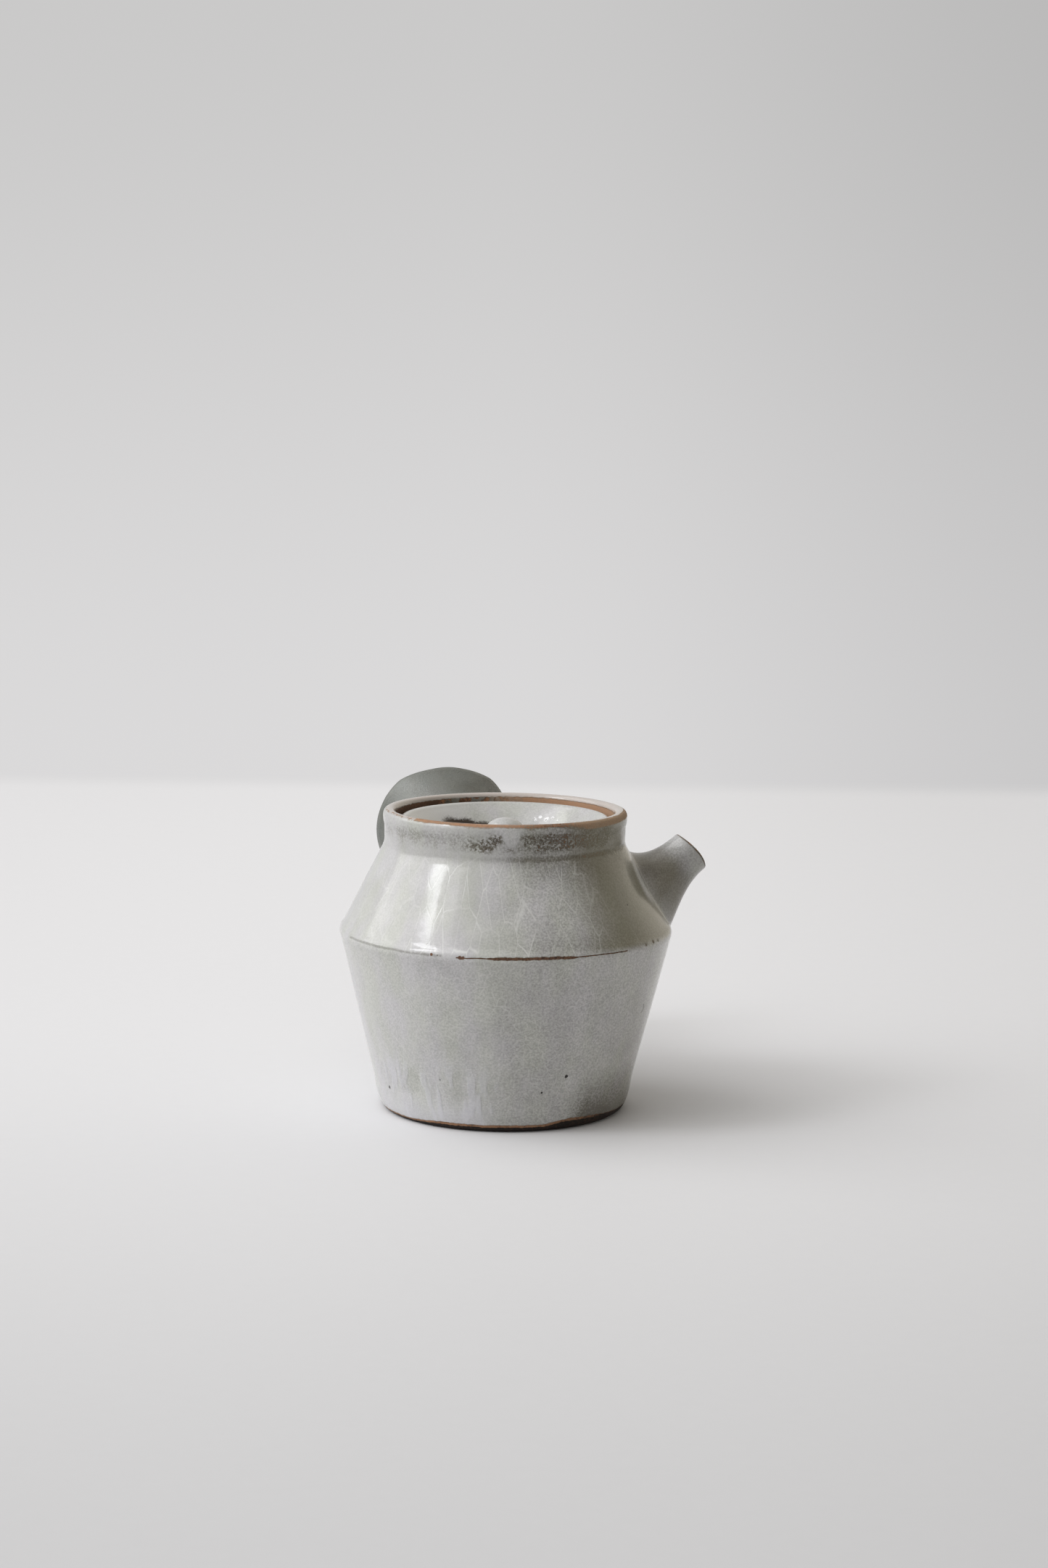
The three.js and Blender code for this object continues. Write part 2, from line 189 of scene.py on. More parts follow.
@dataclass(frozen=True)
class Hand:
    """The slight unevenness that hands leave on thrown and pulled clay."""

    lean_towards: Place = (0.978, -0.208, 0.0)
    shoulder_height: float = 47.8
    shoulder_shift: float = 0.34
    collar_height: float = 70.0
    collar_shift: float = -0.2
    swell: float = 0.16
    swell_size: float = 26.0
    ripple: float = 0.035
    ripple_size: float = 7.0
    ripple_start: Place = (9.0, 4.0, 2.0)
    settled_height: float = 6.0
    high_towards: Place = (-0.208, -0.978, 0.0)
    rim_rise: float = 0.13
    rim_tilt: float = 0.53
    rim_radius: float = 31.0
    rim_foot: float = 74.5
    rim_height: float = 79.0

    def rise_at(self, point: Vector) -> float:
        """How much higher the rim stands, which is most at the near side.

        Args:
            point: The place.

        Returns:
            The rise.
        """
        share = min(1.0, max(0.0, (point.z - self.rim_foot) / (self.rim_height - self.rim_foot)))
        near = point.dot(Vector(self.high_towards))
        return share * (self.rim_rise + self.rim_tilt * near / self.rim_radius)

    def shift_at(self, height: float) -> float:
        """How far the form sits off its axis.

        Args:
            height: The height on the pot.

        Returns:
            The shift.
        """
        if height <= self.shoulder_height:
            share = max(0.0, height) / self.shoulder_height
            return self.shoulder_shift * share * share * (3 - 2 * share)
        share = (height - self.shoulder_height) / (self.collar_height - self.shoulder_height)
        return self.shoulder_shift + (self.collar_shift - self.shoulder_shift) * min(1.0, share)

    def touched(self, point: Vector) -> Vector:
        """A point of the clay as the hand leaves it.

        Args:
            point: The true place.

        Returns:
            The uneven place.
        """
        wave = noise.noise(point / self.swell_size) * self.swell
        wave += noise.noise(point / self.ripple_size + Vector(self.ripple_start)) * self.ripple
        outwards = Vector((point.x, point.y, 0.0)).normalized()
        grown = point + outwards * wave * min(1.0, point.z / self.settled_height)
        grown.z += self.rise_at(point)
        return grown + Vector(self.lean_towards) * self.shift_at(point.z)


def aimed(centre: Vector, axis: Vector) -> Matrix:
    """The transform that stands a shape at a centre, along an axis."""
    return Matrix.Translation(centre) @ UP.rotation_difference(axis).to_matrix().to_4x4()


def throw(rib: Rib, sides: int) -> Shape:
    """Spins an outline about the pot's axis into a closed skin.

    Args:
        rib: The outline, which starts and ends on the axis.
        sides: How many steps the turn takes.

    Returns:
        The shape, with its normals outwards.
    """
    shape = bmesh.new()
    corners = [shape.verts.new(point) for point in rib.points]
    edges = [shape.edges.new(pair) for pair in zip(corners, corners[1:])]
    bmesh.ops.spin(
        shape,
        geom=corners + edges,
        cent=ORIGIN,
        axis=UP,
        dvec=ORIGIN,
        angle=math.tau,
        steps=sides,
        use_merge=True,
    )
    bmesh.ops.remove_doubles(shape, verts=shape.verts, dist=1e-5)
    bmesh.ops.recalc_face_normals(shape, faces=shape.faces)
    return shape


def pull(rings: Sequence[Ring], sides: int) -> Shape:
    """Pulls a hollow form ring by ring, and closes its last ring to its first.

    Args:
        rings: For each ring, what gives the place of a point by its angle.
        sides: How many points a ring has.

    Returns:
        The shape, with its normals outwards.
    """
    shape = bmesh.new()
    turn = shape.verts.layers.int.new("turn")
    loop = bmesh.ops.create_circle(shape, segments=sides, radius=1.0)["verts"]
    for index, corner in enumerate(loop):
        corner[turn] = index
        corner.co = rings[0](math.tau * index / sides)
    first_edges = edges = list(shape.edges)
    for ring in rings[1:]:
        drawn = bmesh.ops.extrude_edge_only(shape, edges=edges)["geom"]
        loop = {part for part in drawn if isinstance(part, bmesh.types.BMVert)}
        for corner in loop:
            corner.co = ring(math.tau * corner[turn] / sides)
        lines = (part for part in drawn if isinstance(part, bmesh.types.BMEdge))
        edges = [line for line in lines if loop.issuperset(line.verts)]
    bmesh.ops.bridge_loops(shape, edges=first_edges + edges)
    bmesh.ops.recalc_face_normals(shape, faces=shape.faces)
    return shape


def along(curve_at: Callable[[float], list[Vector]], steps: int) -> list[Ring]:
    """Rings at equal steps of curves that run lengthwise, one curve for each angle.

    Args:
        curve_at: Gives the four control points of the curve at an angle.
        steps: How many pieces the curves are cut into.

    Returns:
        The rings, for pull.
    """
    cut = cache(lambda angle: interpolate_bezier(*curve_at(angle), steps + 1))
    return [lambda angle, step=step: cut(angle)[step] for step in range(steps + 1)]


def drill(tools: Shape, centre: Vector, axis: Vector, radius: float, length: float, sides: int) -> None:
    """Adds a round cutter.

    Args:
        tools: The cutters so far, which don't meet each other.
        centre: The middle of the cutter.
        axis: Its direction.
        radius: Its radius.
        length: Its length.
        sides: Its number of sides.
    """
    bmesh.ops.create_cone(
        tools,
        cap_ends=True,
        segments=sides,
        radius1=radius,
        radius2=radius,
        depth=length,
        matrix=aimed(centre, axis),
    )


def linked(name: str, data: bpy.types.ID) -> Thing:
    """Makes an object, linked to the scene.

    Args:
        name: The object's name.
        data: Its mesh, lamp or camera.

    Returns:
        The object.
    """
    made = bpy.data.objects.new(name, data)
    bpy.context.scene.collection.objects.link(made)
    return made


def meshed(shape: Shape, name: str) -> Thing:
    """Makes an object from a shape in mm, at the origin and in metres.

    Args:
        shape: The shape, which is freed.
        name: The object's name.

    Returns:
        The object.
    """
    bmesh.ops.scale(shape, vec=(MM, MM, MM), verts=shape.verts)
    mesh = bpy.data.meshes.new(name)
    shape.to_mesh(mesh)
    shape.free()
    return linked(name, mesh)


def pierced(shape: Shape, tools: Shape, name: str) -> Thing:
    """Takes cutters out of a shape.

    Args:
        shape: The shape, in mm.
        tools: The cutters, in mm.
        name: The name of what is left.

    Returns:
        The pierced object.
    """
    piece, tool = meshed(shape, name), meshed(tools, "cutters")
    cut = piece.modifiers.new("holes", "BOOLEAN")
    cut.operation = "DIFFERENCE"
    cut.solver = "EXACT"
    cut.object = tool
    view = bpy.context.evaluated_depsgraph_get()
    whole, spare = piece.data, tool.data
    piece.data = bpy.data.meshes.new_from_object(piece.evaluated_get(view))
    piece.modifiers.clear()
    bpy.data.objects.remove(tool)
    bpy.data.meshes.remove(whole)
    bpy.data.meshes.remove(spare)
    piece.data.name = name
    return piece


# Shader nodes


@dataclass(frozen=True)
class Level:
    """A number that nodes give at each point, and that plain sums can be made with."""

    bench: "Bench"
    socket: Wire

    def __add__(self, other: Feed) -> "Level":
        """This and another."""
        return self.bench.maths("ADD", self, other)

    def __sub__(self, other: Feed) -> "Level":
        """This less another."""
        return self.bench.maths("SUBTRACT", self, other)

    def __rsub__(self, other: Feed) -> "Level":
        """Another less this."""
        return self.bench.maths("SUBTRACT", other, self)

    def __mul__(self, other: Feed) -> "Level":
        """This times another."""
        return self.bench.maths("MULTIPLY", self, other)

    def __truediv__(self, other: Feed) -> "Level":
        """This over another."""
        return self.bench.maths("DIVIDE", self, other)

    def __rtruediv__(self, other: Feed) -> "Level":
        """Another over this."""
        return self.bench.maths("DIVIDE", other, self)

    def __abs__(self) -> "Level":
        """This without its sign."""
        return self.bench.maths("ABSOLUTE", self)

    def at_least(self, other: Feed) -> "Level":
        """The larger of this and another."""
        return self.bench.maths("MAXIMUM", self, other)

    def at_most(self, other: Feed) -> "Level":
        """The smaller of this and another."""
        return self.bench.maths("MINIMUM", self, other)

    def held(self) -> "Level":
        """The sum that gives this number, held between 0 and 1."""
        self.socket.node.use_clamp = True
        return self

    def rise(self, low: Feed, high: Feed, start: Feed = 0.0, end: Feed = 1.0) -> "Level":
        """A soft step as the number grows.

        Args:
            low: Where the step starts.
            high: Where it ends.
            start: The result up to low.
            end: The result from high on.

        Returns:
            The result.
        """
        values = (self, low, high, start, end)
        step = self.bench.node("ShaderNodeMapRange", *values, interpolation_type="SMOOTHSTEP")
        return Level(self.bench, step.outputs[0])

    def fall(self, low: Feed, high: Feed) -> "Level":
        """A soft step from 1 down to 0 as the number grows."""
        return self.rise(low, high, 1.0, 0.0)

    def brought(self, mask: "Level", value: Feed) -> "Level":
        """The number brought to a value where a mask says."""
        return self * (1.0 - mask) + mask * value


class Bench:
    """Sets shader nodes in one tree and joins them, and knows the place that they work from."""

    place: Wire

    def __init__(self, tree: Tree) -> None:
        """Works in a node tree."""
        self.tree = tree

    def feed(self, socket: Wire, value: Feed) -> None:
        """Joins an output to a socket, or sets the socket's own value.

        Args:
            socket: The socket.
            value: The output, number, place or colour that it gets.
        """
        if isinstance(value, Level):
            value = value.socket
        if isinstance(value, Wire):
            self.tree.links.new(value, socket)
        elif socket.type == "RGBA":
            socket.default_value = (*value, 1.0)
        else:
            socket.default_value = value

    def node(
        self,
        kind: str,
        *values: Feed,
        fed: Optional[dict[str, Feed]] = None,
        **settings: object,
    ) -> bpy.types.Node:
        """Adds a node.

        Args:
            kind: The node's type.
            *values: What its first inputs get, in their order.
            fed: What its inputs get, by their names.
            **settings: Its own settings, by name.

        Returns:
            The node.
        """
        made = self.tree.nodes.new(kind)
        for name, setting in settings.items():
            setattr(made, name, setting)
        for socket, value in zip(made.inputs, values):
            self.feed(socket, value)
        for name, value in (fed or {}).items():
            self.feed(made.inputs[name], value)
        return made

    def maths(self, operation: str, *values: Feed) -> Level:
        """Works out a number from numbers."""
        return Level(self, self.node("ShaderNodeMath", *values, operation=operation).outputs[0])

    def vector(self, operation: str, *values: Feed) -> Wire:
        """Works out a vector from vectors."""
        return self.node("ShaderNodeVectorMath", *values, operation=operation).outputs["Vector"]

    def measure(self, operation: str, *values: Feed) -> Level:
        """Works out a number from vectors."""
        return Level(self, self.node("ShaderNodeVectorMath", *values, operation=operation).outputs["Value"])

    def times(self, vector: Feed, factor: Feed) -> Wire:
        """A vector or a colour times a number."""
        made = self.node("ShaderNodeVectorMath", vector, operation="SCALE", fed={"Scale": factor})
        return made.outputs["Vector"]

    def stretched(self, x: float, y: float, z: float) -> Wire:
        """The place with each side multiplied by its own number."""
        return self.vector("MULTIPLY", self.place, (x, y, z))

    @cached_property
    def height(self) -> Level:
        """How high the place is."""
        return Level(self, self.node("ShaderNodeSeparateXYZ", self.place).outputs[2])

    @cached_property
    def flat(self) -> Wire:
        """The place brought down to the table."""
        return self.stretched(1.0, 1.0, 0.0)

    @cached_property
    def radius(self) -> Level:
        """How far the place is from the pot's axis."""
        return self.measure("LENGTH", self.flat)

    def reach(self, direction: Sequence[float], start: Optional[Sequence[float]] = None) -> Level:
        """How far the place lies in a direction.

        Args:
            direction: The direction.
            start: Where it is measured from, if that isn't the origin.

        Returns:
            The distance.
        """
        place = self.place if start is None else self.vector("SUBTRACT", self.place, tuple(start))
        return self.measure("DOT_PRODUCT", place, tuple(direction))

    def cloud(self, size: float, detail: float = 2.0, rough: float = 0.5, tall: float = 1.0) -> Level:
        """Soft noise about 0.5.

        Args:
            size: The size of a patch.
            detail: How many finer layers there are.
            rough: How strong these are.
            tall: What heights are multiplied by first: below 1, it makes tall patches.

        Returns:
            The noise, from 0 to 1.
        """
        place = self.place if tall == 1.0 else self.stretched(1.0, 1.0, tall)
        fed = {"Vector": place, "Scale": 1.0 / size, "Detail": detail, "Roughness": rough}
        return Level(self, self.node("ShaderNodeTexNoise", fed=fed, noise_dimensions="3D").outputs[0])

    def blend(self, share: Feed, first: Feed, second: Feed, way: str = "MIX") -> Wire:
        """Mixes two colours.

        Args:
            share: How much of the second there is.
            first: The first colour.
            second: The second colour.
            way: The name of the way of mixing.

        Returns:
            The mixed colour.
        """
        made = self.node("ShaderNodeMix", share, data_type="RGBA", blend_type=way, clamp_factor=True)
        self.feed(made.inputs[6], first)
        self.feed(made.inputs[7], second)
        return made.outputs[2]

    def ramp(self, value: Feed, stops: Sequence[tuple[float, Colour]]) -> Wire:
        """A colour picked by a number.

        Args:
            value: The number, from 0 to 1.
            stops: Pairs of a number and its colour.

        Returns:
            The colour.
        """
        made = self.node("ShaderNodeValToRGB", value)
        elements = made.color_ramp.elements
        for position, _ in stops[2:]:
            elements.new(position)
        for element, (position, colour) in zip(elements, stops):
            element.position = position
            element.color = (*colour, 1.0)
        return made.outputs[0]

    def use(self, tree: Tree, **feeds: Feed) -> dict[str, Level]:
        """Sets a node group in the tree, at the bench's own place if it is given no other.

        Args:
            tree: The group's tree.
            **feeds: What its inputs get, by their names.

        Returns:
            The group's outputs, by their names.
        """
        made = self.node("ShaderNodeGroup", node_tree=tree, fed={"place": self.place, **feeds})
        return {socket.name: Level(self, socket) for socket in made.outputs}


class Effect(Bench):
    """A shader node group that works from a place, and that several finishes share."""

    def __init__(self, name: str, takes: dict[str, Feed], gives: dict[str, str]) -> None:
        """Makes the group's sockets.

        Args:
            name: The group's name.
            takes: The plain value of each input besides the place.
            gives: The socket type of each output.
        """
        super().__init__(bpy.data.node_groups.new(name, "ShaderNodeTree"))
        face = self.tree.interface
        for label, value in {"place": ORIGIN, **takes}.items():
            kind = NUMBER if isinstance(value, float) else "NodeSocketVector"
            face.new_socket(label, in_out="INPUT", socket_type=kind).default_value = value
        for label, kind in gives.items():
            face.new_socket(label, in_out="OUTPUT", socket_type=kind)
        self.inputs = self.node("NodeGroupInput").outputs
        self.outputs = self.node("NodeGroupOutput").inputs
        self.place = self.inputs["place"]

    def taken(self, label: str) -> Level:
        """The number that an input brings."""
        return Level(self, self.inputs[label])

    def given(self, **results: Feed) -> Tree:
        """Joins results to the outputs.

        Args:
            **results: What the outputs get, by their names.

        Returns:
            The finished group.
        """
        for label, value in results.items():
            self.feed(self.outputs[label], value)
        return self.tree


def craze_net() -> Tree:
    """The net of hairline cracks in a glaze.

    Returns:
        A group that takes a place and a cell size, and gives the lines and a tone for each cell.
    """
    effect = Effect("craze_net", {"cell": 5.0, "line": 0.02}, {"lines": NUMBER, "tone": NUMBER})
    waves = {"Vector": effect.place, "Scale": 0.22, "Detail": 2.0}
    wander = effect.node("ShaderNodeTexNoise", fed=waves, noise_dimensions="3D")
    drift = effect.vector("SUBTRACT", wander.outputs["Color"], (0.5, 0.5, 0.5))
    cells = {"Vector": effect.vector("ADD", effect.place, drift), "Scale": 1.0 / effect.taken("cell")}
    edge = effect.node("ShaderNodeTexVoronoi", fed=cells, feature="DISTANCE_TO_EDGE")
    cell = effect.node("ShaderNodeTexVoronoi", fed=cells, feature="F1")
    lines = Level(effect, edge.outputs["Distance"]).fall(0.0, effect.taken("line"))
    tone = effect.node("ShaderNodeSeparateColor", cell.outputs["Color"]).outputs[0]
    return effect.given(lines=lines, tone=tone)


def spot() -> Tree:
    """A round spot at a place.

    Returns:
        A group that takes a place, a centre and a radius, and gives the spot's mask.
    """
    effect = Effect("spot", {"centre": ORIGIN, "radius": 0.5}, MASK)
    away = effect.measure("DISTANCE", effect.place, effect.inputs["centre"]) / effect.taken("radius")
    ragged = effect.cloud(0.5) * 0.5 - 0.25
    return effect.given(mask=(away + ragged).fall(0.65, 1.1))


def ring_line() -> Tree:
    """A thin line round the pot at a height, which wanders and breaks.

    Returns:
        A group that takes a place, a height, a half width and a share, and gives the line's mask.
    """
    effect = Effect("ring_line", {"height": 0.0, "half": 0.3, "share": 0.5}, MASK)
    wander = effect.cloud(6.0, 3.0) * 0.5 - 0.25
    off = abs(effect.height - effect.taken("height") + wander)
    wide = effect.taken("half") * (effect.cloud(0.8) * 1.2 + 0.4)
    low = 0.72 - effect.taken("share")
    kept = effect.cloud(7.0, tall=0.2).rise(low - 0.08, low)
    return effect.given(mask=(off / wide).fall(0.55, 1.25) * kept)


def sector() -> Tree:
    """A soft sector round the pot's axis.

    Returns:
        A group that takes a place, a flat direction and two cosines, and gives the sector's mask.
    """
    effect = Effect("sector", {"towards": (1.0, 0.0, 0.0), "outer": 0.7, "inner": 0.9}, MASK)
    outwards = effect.vector("NORMALIZE", effect.flat)
    turn = effect.measure("DOT_PRODUCT", outwards, effect.inputs["towards"])
    return effect.given(mask=turn.rise(effect.taken("outer"), effect.taken("inner")))


@dataclass(frozen=True)
class Stoneware:
    """The colours of the glaze over the clay, from bare clay to the thickest glaze."""

    # The darkest stop: near-black clay, which is also painted shade where the contact shadow falls under
    # the foot.
    darkest_clay_and_shade: Colour = (0.011, 0.007, 0.005)
    clay: Colour = (0.120, 0.060, 0.034)
    scorched: Colour = (0.290, 0.135, 0.062)
    umber: Colour = (0.076, 0.062, 0.045)
    olive: Colour = (0.118, 0.102, 0.076)
    dusk: Colour = (0.203, 0.196, 0.170)
    ash: Colour = (0.336, 0.334, 0.314)
    pale: Colour = (0.500, 0.499, 0.486)
    leaf_tint: Colour = (0.988, 0.998, 0.955)
    lilac_tint: Colour = (1.002, 0.988, 1.022)
    tall_cell: float = 4.0
    tall_stretch: float = 0.36
    unrolled_radius: float = 38.0
    least_radius: float = 25.0
    small_cell: float = 2.6
    small_start: Place = (31.0, 7.0, 3.0)
    close_cell: float = 2.3
    close_start: Place = (5.0, 61.0, 9.0)
    close_stretch: Place = (0.75, 0.75, 1.3)
    speckle_size: float = 0.50
    ripple_size: float = 3.2
    refraction: float = 1.5
    pinhole_depth: float = 0.12

    def net(self, bench: Bench, craze: Tree) -> tuple[Level, Level]:
        """The hairline cracks: tall cells on the shoulder, a close, flat net on the lower wall.

        Args:
            bench: Where the nodes go.
            craze: The group that draws the cracks.

        Returns:
            The lines, and a tone for each large cell.
        """
        outwards = bench.radius.at_least(self.least_radius)
        unrolled = bench.times(bench.flat, self.unrolled_radius / outwards)
        upright = bench.vector("ADD", unrolled, bench.stretched(0.0, 0.0, self.tall_stretch))
        tall = bench.use(craze, place=upright, cell=self.tall_cell, line=0.032)
        aside = bench.vector("ADD", bench.place, self.small_start)
        small = bench.use(craze, place=aside, cell=self.small_cell, line=0.036)
        beside = bench.vector("ADD", bench.place, self.close_start)
        lying = bench.vector("MULTIPLY", beside, self.close_stretch)
        close = bench.use(craze, place=lying, cell=self.close_cell, line=0.060)
        faint = bench.cloud(6.0).rise(0.38, 0.58)
        upper = tall["lines"] * (faint * 0.6 + 0.35) + small["lines"] * faint * 0.15
        lower = close["lines"] * (faint * 0.38 + 0.18)
        lines = ((upper - lower) * bench.height.rise(46.5, 49.0) + lower).held()
        return lines * bench.height.rise(69.0, 72.5, 1.0, 0.25), tall["tone"]

    def coat(self, craze: Tree) -> Tree:
        """The look of the glaze at each thickness.

        Args:
            craze: The group that draws the hairline cracks.

        Returns:
            A group that takes a place in mm, a thickness from 0 to 1 and how plain the cracks and
            the grain are, and gives the colour, the roughness and the relief in mm.
        """
        takes = {"thickness": 1.0, "craze": 1.0, "grain": 1.0}
        gives = {"colour": "NodeSocketColor", "roughness": NUMBER, "relief": NUMBER}
        effect = Effect("glaze_coat", takes, gives)
        whole = effect.taken("thickness")
        speckle = effect.cloud(self.speckle_size, 3.0, 0.7).rise(0.34, 0.66, -0.5, 0.5)
        speckle = speckle * effect.taken("grain")
        grain = speckle * whole.rise(0.45, 0.90, 0.19, 0.06)
        patch = effect.cloud(7.0, 3.0) * 0.22 - 0.11
        thick = (whole + (grain + patch) * whole.rise(0.02, 0.2, 0.25, 1.0)).held()
        stops = [
            (0.0, self.darkest_clay_and_shade),
            (0.08, self.clay),
            (0.18, self.scorched),
            (0.24, self.umber),
            (0.31, self.olive),
            (0.52, self.dusk),
            (0.76, self.ash),
            (1.0, self.pale),
        ]
        tint = effect.ramp(effect.cloud(7.0, tall=0.35), [(0.36, self.leaf_tint), (0.64, self.lilac_tint)])
        colour = effect.blend(1.0, effect.ramp(thick, stops), tint, "MULTIPLY")
        lines, cells = self.net(effect, craze)
        lines = lines * thick.rise(0.35, 0.7) * effect.taken("craze")
        tone = speckle * 0.27 + (cells * 0.05 + 0.975)
        colour = effect.blend(lines * 0.50, effect.times(colour, tone), Tint.CRACK.value)
        gloss = thick.rise(0.12, 0.55, 0.90, 0.11) + effect.cloud(1.6) * 0.05
        relief = thick.rise(0.0, 0.6) * 0.10 + speckle * 0.0035
        relief = relief + effect.cloud(self.ripple_size, 1.0) * 0.028 - lines * 0.006
        return effect.given(colour=colour, roughness=(gloss - 0.025).held(), relief=relief)


@dataclass
class Workshop:
    """The shared effects, built once."""

    stoneware: Stoneware

    def __post_init__(self) -> None:
        """Builds the groups."""
        self.spot, self.line, self.sector = spot(), ring_line(), sector()
        self.coat = self.stoneware.coat(craze_net())


@dataclass(frozen=True)
class Layer:
    """A thin skin of another colour; some layers paint light and shade."""

    mask: Level
    tint: Tint


@dataclass(frozen=True)
class Mark:
    """A round mark in the glaze, also used for patches of painted shade and glints."""

    centre: Place
    radius: float
    depth: float = 1.0


class Canvas(Bench):
    """The bench of a whole material or world, whose nodes start afresh."""

    def __init__(self, owner: Union[Material, bpy.types.World], where: str) -> None:
        """Empties the tree and takes its places.

        Args:
            owner: The material or the world.
            where: The name of the coordinate that gives the place.
        """
        owner.use_nodes = True
        super().__init__(owner.node_tree)
        self.tree.nodes.clear()
        self.place = self.node("ShaderNodeTexCoord").outputs[where]

    def rays(self, *kinds: str) -> Level:
        """The mask of the rays of some kinds.

        Args:
            *kinds: The names of the kinds.

        Returns:
            The mask.
        """
        outputs = self.node("ShaderNodeLightPath").outputs
        seen = Level(self, outputs[kinds[0]])
        for kind in kinds[1:]:
            seen = seen.at_least(outputs[kind])
        return seen


class Finish(Canvas):
    """A finish of glaze over clay, whose thickness changes over the piece."""

    def __init__(self, workshop: Workshop, name: str) -> None:
        """Starts a material whose places are in mm.

        Args:
            workshop: The shared effects.
            name: The material's name.
        """
        self.workshop = workshop
        self.material = bpy.data.materials.new(name)
        super().__init__(self.material, "Object")
        enlarged = {"Scale": (1 / MM, 1 / MM, 1 / MM)}
        in_mm = self.node("ShaderNodeMapping", self.place, fed=enlarged, vector_type="POINT")
        self.place = in_mm.outputs[0]

    def marks(self, *marks: Mark) -> Level:
        """One mask for several round marks.

        Args:
            *marks: The marks.

        Returns:
            The mask.
        """
        total: Feed = 0.0
        for mark in marks:
            made = self.use(self.workshop.spot, centre=mark.centre, radius=mark.radius)
            total = made["mask"] * mark.depth + total
        return total.at_most(1.0)

    def facing(self, azimuth: float, half: float, soft: float) -> Level:
        """The mask of a sector.

        Args:
            azimuth: The azimuth of its middle.
            half: Half its angle, in degrees.
            soft: How many degrees more its edge takes to fade.

        Returns:
            The mask.
        """
        made = self.use(
            self.workshop.sector,
            towards=(math.cos(math.radians(azimuth)), math.sin(math.radians(azimuth)), 0.0),
            outer=math.cos(math.radians(half + soft)),
            inner=math.cos(math.radians(half)),
        )
        return made["mask"]

    def close(
        self,
        thick: Level,
        craze: Feed = 1.0,
        grain: Feed = 0.5,
        holes: Optional[Level] = None,
        layers: Sequence[Layer] = (),
        bumps: Feed = 0.0,
    ) -> Material:
        """Joins the coat to the shader.

        Args:
            thick: The thickness of the glaze, from 0 to 1.
            craze: How plain the hairline cracks are.
            grain: How plain the fine speckle is.
            holes: The mask of pinholes, which are dark and sunk.
            layers: Thin skins of other colours, some of which paint light and shade.
            bumps: The height of runs and dents, in mm.

        Returns:
            The material.
        """
        coat = self.use(self.workshop.coat, thickness=thick, craze=craze, grain=grain)
        colour, relief = coat["colour"], coat["relief"] + bumps
        for layer in layers:
            colour = self.blend(layer.mask, colour, layer.tint.value)
        if holes is not None:
            colour = self.blend(holes, colour, Tint.PINHOLE.value)
            relief -= holes * self.workshop.stoneware.pinhole_depth
        bump = self.node("ShaderNodeBump", fed={"Strength": 1.0, "Distance": MM, "Height": relief})
        look = {
            "IOR": self.workshop.stoneware.refraction,
            "Base Color": colour,
            "Roughness": coat["roughness"],
            "Normal": bump.outputs[0],
        }
        shader = self.node("ShaderNodeBsdfPrincipled", fed=look)
        self.node("ShaderNodeOutputMaterial", fed={"Surface": shader.outputs[0]})
        return self.material


# The pot


class Piece:
    """A piece of the pot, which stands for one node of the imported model."""

    name: ClassVar[str]
    node: ClassVar[str]
    finish_name: ClassVar[str]
    rides: ClassVar[Body] = Body.POT
    slot: ClassVar[Slot] = Slot.GLAZE

    def shaped(self) -> Thing:
        """Makes the bare piece."""
        raise NotImplementedError

    def glaze(self, finish: Finish) -> Material:
        """Mixes the piece's finish."""
        raise NotImplementedError

    def build(self, workshop: Workshop, hand: Hand) -> Thing:
        """Makes the piece, dresses it, and sets it on its body in place of its node.

        Args:
            workshop: The shared effects.
            hand: The unevenness that it gets.

        Returns:
            The piece.
        """
        piece = self.shaped()
        mesh = piece.data
        for corner in mesh.vertices:
            corner.co = hand.touched(corner.co / MM) * MM
        for face in mesh.polygons:
            face.use_smooth = True
        mesh.materials.clear()
        mesh.materials.append(self.glaze(Finish(workshop, self.finish_name)))
        mesh.update()
        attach(piece, self.rides.value)
        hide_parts(self.node)
        return piece


